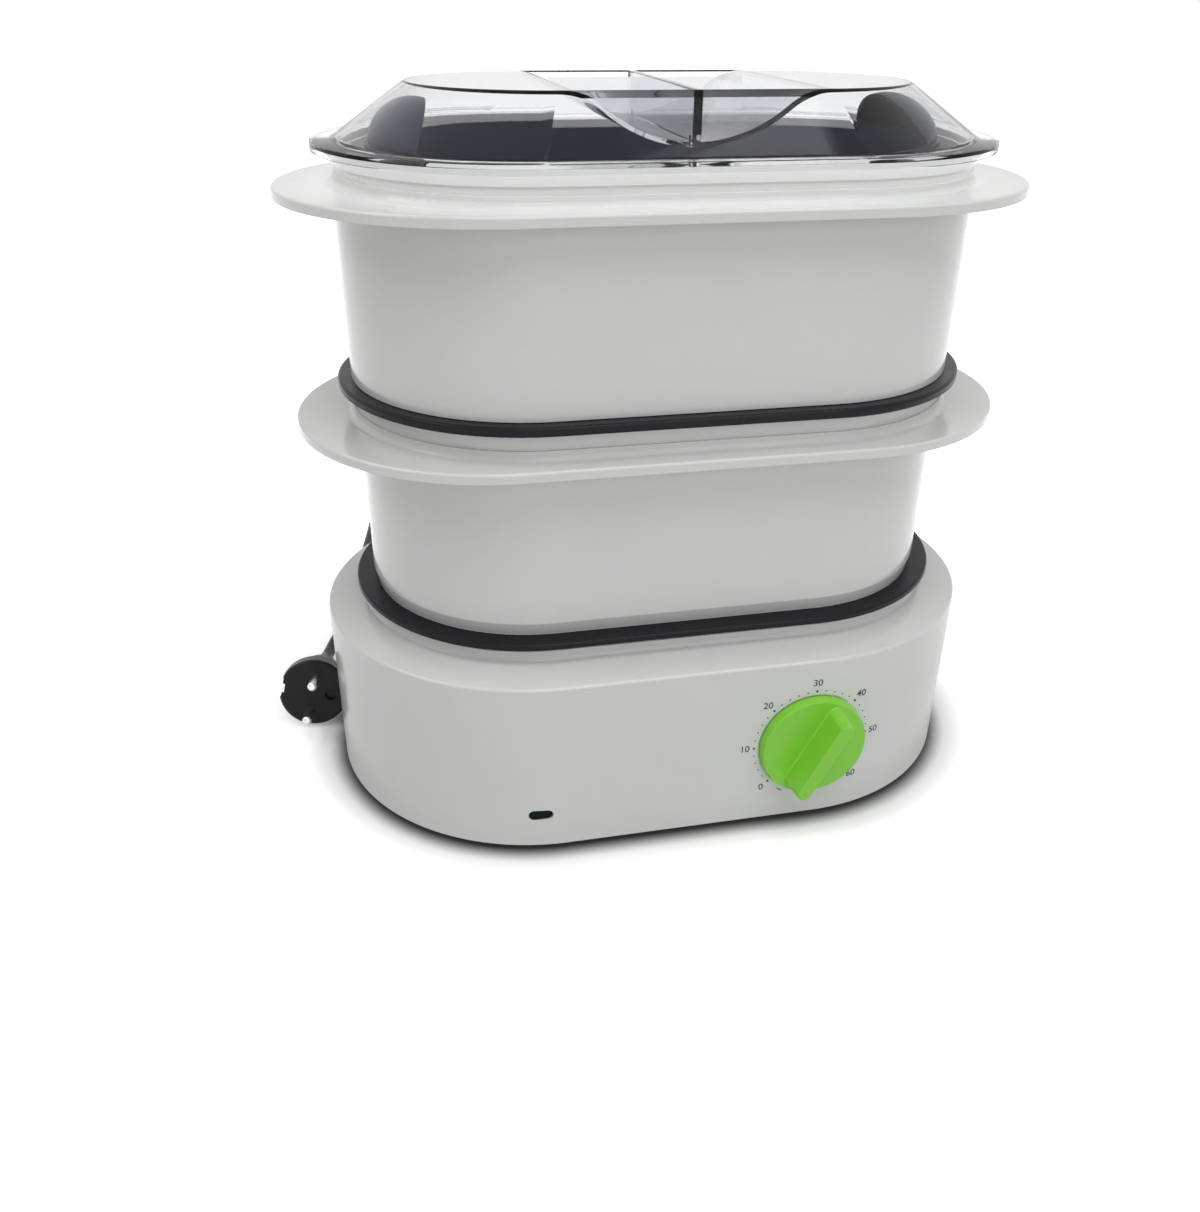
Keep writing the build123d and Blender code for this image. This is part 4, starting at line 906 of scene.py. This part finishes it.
class STEAMER_OT_lid(bpy.types.Operator):
    """Clear lid with its flange, skirt, pocket, web and steam vents"""
    bl_idname = "steamer.lid"
    bl_label = "Lid"

    def execute(self, context):
        given = settings().lid
        end = given.top_radius - MM
        lid = solid(self.outside())
        change(lid, "DIFFERENCE", self.under_brim())
        change(lid, "UNION", self.skirt())
        below = solid(self.space_below())
        change(below, "DIFFERENCE", self.trough(given.wall, end + given.wall))
        change(lid, "DIFFERENCE", below)
        change(lid, "DIFFERENCE", self.trough(0, end))
        change(lid, "UNION", self.web(end + 0.6 * MM))
        for side in (-1, 1):
            change(lid, "DIFFERENCE", self.vent(side * (end - 4 * MM)))
        clear = clear_plastic("clear plastic", settings().plastic.clear, 0.01)
        bm = softened(lid, wide_area=600 * MM ** 2)
        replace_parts(finished(bm, "clear_lid", clear, "lid"), "lid")
        return {"FINISHED"}

    def outside(self):
        """Everything down to the rim of the flange, without its insides."""
        given = settings().lid
        foot, top = given.foot_radius, given.top_radius
        top_straight = given.top_straight
        return stack_of((
            (HALF_STRAIGHT, BRIM_RADIUS - 0.4 * MM, LID_SEAT - BRIM_LIP),
            (HALF_STRAIGHT, BRIM_RADIUS, LID_SEAT - BRIM_LIP + 0.4 * MM),
            (HALF_STRAIGHT, BRIM_RADIUS, LID_SHELL - 0.8 * MM),
            (HALF_STRAIGHT, BRIM_RADIUS - 0.25 * MM, LID_SHELL - 0.25 * MM),
            (HALF_STRAIGHT, BRIM_RADIUS - 0.8 * MM, LID_SHELL),
            (HALF_STRAIGHT, foot + 0.5 * MM, LID_SHELL),
            (HALF_STRAIGHT - 0.1 * MM, foot - 0.4 * MM, LID_SHELL + 0.5 * MM),
            (top_straight + 0.4 * MM, top + 0.8 * MM, LID_TOP - 0.9 * MM),
            (top_straight + 0.1 * MM, top + 0.1 * MM, LID_TOP - 0.35 * MM),
            (top_straight, top - 0.5 * MM, LID_TOP)), LID_PLACE)

    def under_brim(self):
        """The space inside the flange's lip."""
        bore = BRIM_RADIUS - BRIM_WALL
        return stack_of(((HALF_STRAIGHT, bore, LID_SEAT - 2 * BRIM_LIP), (HALF_STRAIGHT, bore, LID_SEAT)),
                        LID_PLACE)

    def skirt(self):
        """The wall that stands inside the basket's collar, not yet bored out."""
        return stack_of(((HALF_STRAIGHT, SKIRT_RADIUS - 0.3 * MM, LID_SEAT - 4 * MM),
                         (HALF_STRAIGHT, SKIRT_RADIUS, LID_SEAT - 3.7 * MM),
                         (HALF_STRAIGHT, SKIRT_RADIUS, LID_SHELL - MM)), LID_PLACE)

    def space_below(self):
        """The hollow under the lid, the pocket not yet taken out of it."""
        given = settings().lid
        lean = (given.foot_radius - given.top_radius) / (LID_TOP - LID_SHELL)
        inset = given.wall * sqrt(1 + lean ** 2)
        bore = SKIRT_RADIUS - 2 * MM
        return stack_of((
            (HALF_STRAIGHT, bore, LID_SEAT - 5 * MM),
            (HALF_STRAIGHT, bore, LID_SHELL - 0.5 * MM),
            (HALF_STRAIGHT, given.foot_radius - inset, LID_SHELL),
            (given.top_straight, given.top_radius - inset + lean * given.wall, LID_TOP - given.wall)),
            LID_PLACE)

    def trough(self, sink, half_length):
        """The pocket's space across the lid, grown by the wall round it."""
        given = settings().lid
        half, depth, shoulder = given.pocket_half, given.pocket_depth, given.shoulder
        reach = (half ** 2 + depth ** 2) / (2 * depth)
        opening = atan2(half, reach - depth)
        y = MIDDLE_Y - half_length
        bm = bmesh.new()
        first = tip = bm.verts.new((-half, y, LID_TOP - sink))
        for x, z, angle, steps in ((-half, LID_TOP - shoulder, opening, 10),
                                   (0, LID_TOP - depth + reach - shoulder, -2 * opening, 32),
                                   (half, LID_TOP - shoulder, opening, 10)):
            spun = bmesh.ops.spin(bm, geom=[tip], cent=(x, y, z), axis=(0, 1, 0), angle=angle,
                                  steps=steps)
            tip = next(item for item in spun["geom_last"] if isinstance(item, bmesh.types.BMVert))
        for corner in ((half, y, LID_TOP + 5 * MM), (-half, y, LID_TOP + 5 * MM)):
            following = bm.verts.new(corner)
            bm.edges.new((tip, following))
            tip = following
        bm.edges.new((tip, first))
        face = bmesh.ops.contextual_create(bm, geom=bm.edges[:])["faces"]
        grown = bmesh.ops.extrude_face_region(bm, geom=face)["geom"]
        moved = [item for item in grown if isinstance(item, bmesh.types.BMVert)]
        bmesh.ops.translate(bm, vec=(0, 2 * half_length, 0), verts=moved)
        bmesh.ops.recalc_face_normals(bm, faces=bm.faces)
        return bm

    def web(self, half_length):
        """The upright wall in the middle of the pocket that a hand lifts the lid by."""
        given = settings().lid
        low = LID_TOP - given.pocket_depth - given.wall / 2
        bm = bmesh.new()
        place = (Matrix.Translation((0, MIDDLE_Y, (low + LID_TOP) / 2))
                 @ Matrix.Diagonal((given.web, 2 * half_length, LID_TOP - low, 1)))
        bmesh.ops.create_cube(bm, size=1, matrix=place)
        upper = [edge for edge in bm.edges if min(vertex.co.z for vertex in edge.verts) > LID_TOP - MM
                 and edge.calc_length() > 10 * MM]
        bmesh.ops.bevel(bm, geom=upper, offset=0.6 * MM, segments=3, profile=0.5, affect="EDGES",
                        material=-1)
        return bm

    def vent(self, y):
        """A round hole through the pocket's bottom."""
        given = settings().lid
        bm = bmesh.new()
        place = Matrix.Translation((0, MIDDLE_Y + y, LID_TOP - given.pocket_depth - 0.1 * MM))
        bmesh.ops.create_cone(bm, cap_ends=True, segments=28, radius1=given.vent, radius2=given.vent,
                              depth=5 * MM, matrix=place)
        return bm


class STEAMER_OT_workings(bpy.types.Operator):
    """Heater, thermal cut-out, wiring and screws inside the base"""
    bl_idname = "steamer.workings"
    bl_label = "Workings"

    def execute(self, context):
        steel = bpy.data.materials["plain steel"]
        black = bpy.data.materials["black plastic"]
        dress(steel, "heater_clamp_ring", "heater_screws", "tank_screws", "cover_screws", "clamp_screws")
        dress(black, "thermal_cutout", "cord_clamp")
        for node, name, colour, finish in (
                ("heater_plate", "heater steel", (0.6, 0.59, 0.57),
                 {"roughness": 0.28, "marks": 0.25, "metallic": 1.0}),
                ("heating_element", "element sheath", (0.35, 0.34, 0.33),
                 {"roughness": 0.45, "marks": 0.2, "metallic": 1.0}),
                ("heater_seal", "silicone", (0.42, 0.09, 0.05), {"roughness": 0.6, "skin": 0.2}),
                ("terminal_block", "terminal plastic", (0.7, 0.69, 0.64), {"roughness": 0.45}),
                ("internal_wires", "wire sleeve", (0.22, 0.22, 0.24), {"roughness": 0.45})):
            dress(moulded(name, colour, **finish), node)
        return {"FINISHED"}


# ---------------------------------------------------------------- panel
STEPS = ("studio", "cord", "base", "dial", "timer", "stack", "lid", "workings")


class STEAMER_PT_panel(bpy.types.Panel):
    """Every step of dressing the steamer"""
    bl_idname = "STEAMER_PT_panel"
    bl_label = "Steamer"
    bl_space_type = "VIEW_3D"
    bl_region_type = "UI"
    bl_category = "Steamer"

    def draw(self, context):
        for step in STEPS:
            self.layout.operator("steamer." + step)


CLASSES = (
    SteamerCameraSettings, SteamerStudioSettings, SteamerPlasticSettings, SteamerDialSettings,
    SteamerKnobSettings, SteamerCordSettings, SteamerLidSettings, SteamerSettings, STEAMER_OT_studio,
    STEAMER_OT_cord, STEAMER_OT_base, STEAMER_OT_dial, STEAMER_OT_timer, STEAMER_OT_stack,
    STEAMER_OT_lid, STEAMER_OT_workings, STEAMER_PT_panel,
)


def register():
    for item in CLASSES:
        bpy.utils.register_class(item)
    bpy.types.Scene.steamer_settings = PointerProperty(type=SteamerSettings)


def unregister():
    del bpy.types.Scene.steamer_settings
    for item in reversed(CLASSES):
        bpy.utils.unregister_class(item)


def main():
    register()
    for step in STEPS:
        getattr(bpy.ops.steamer, step)()


if __name__ == "__main__":
    main()
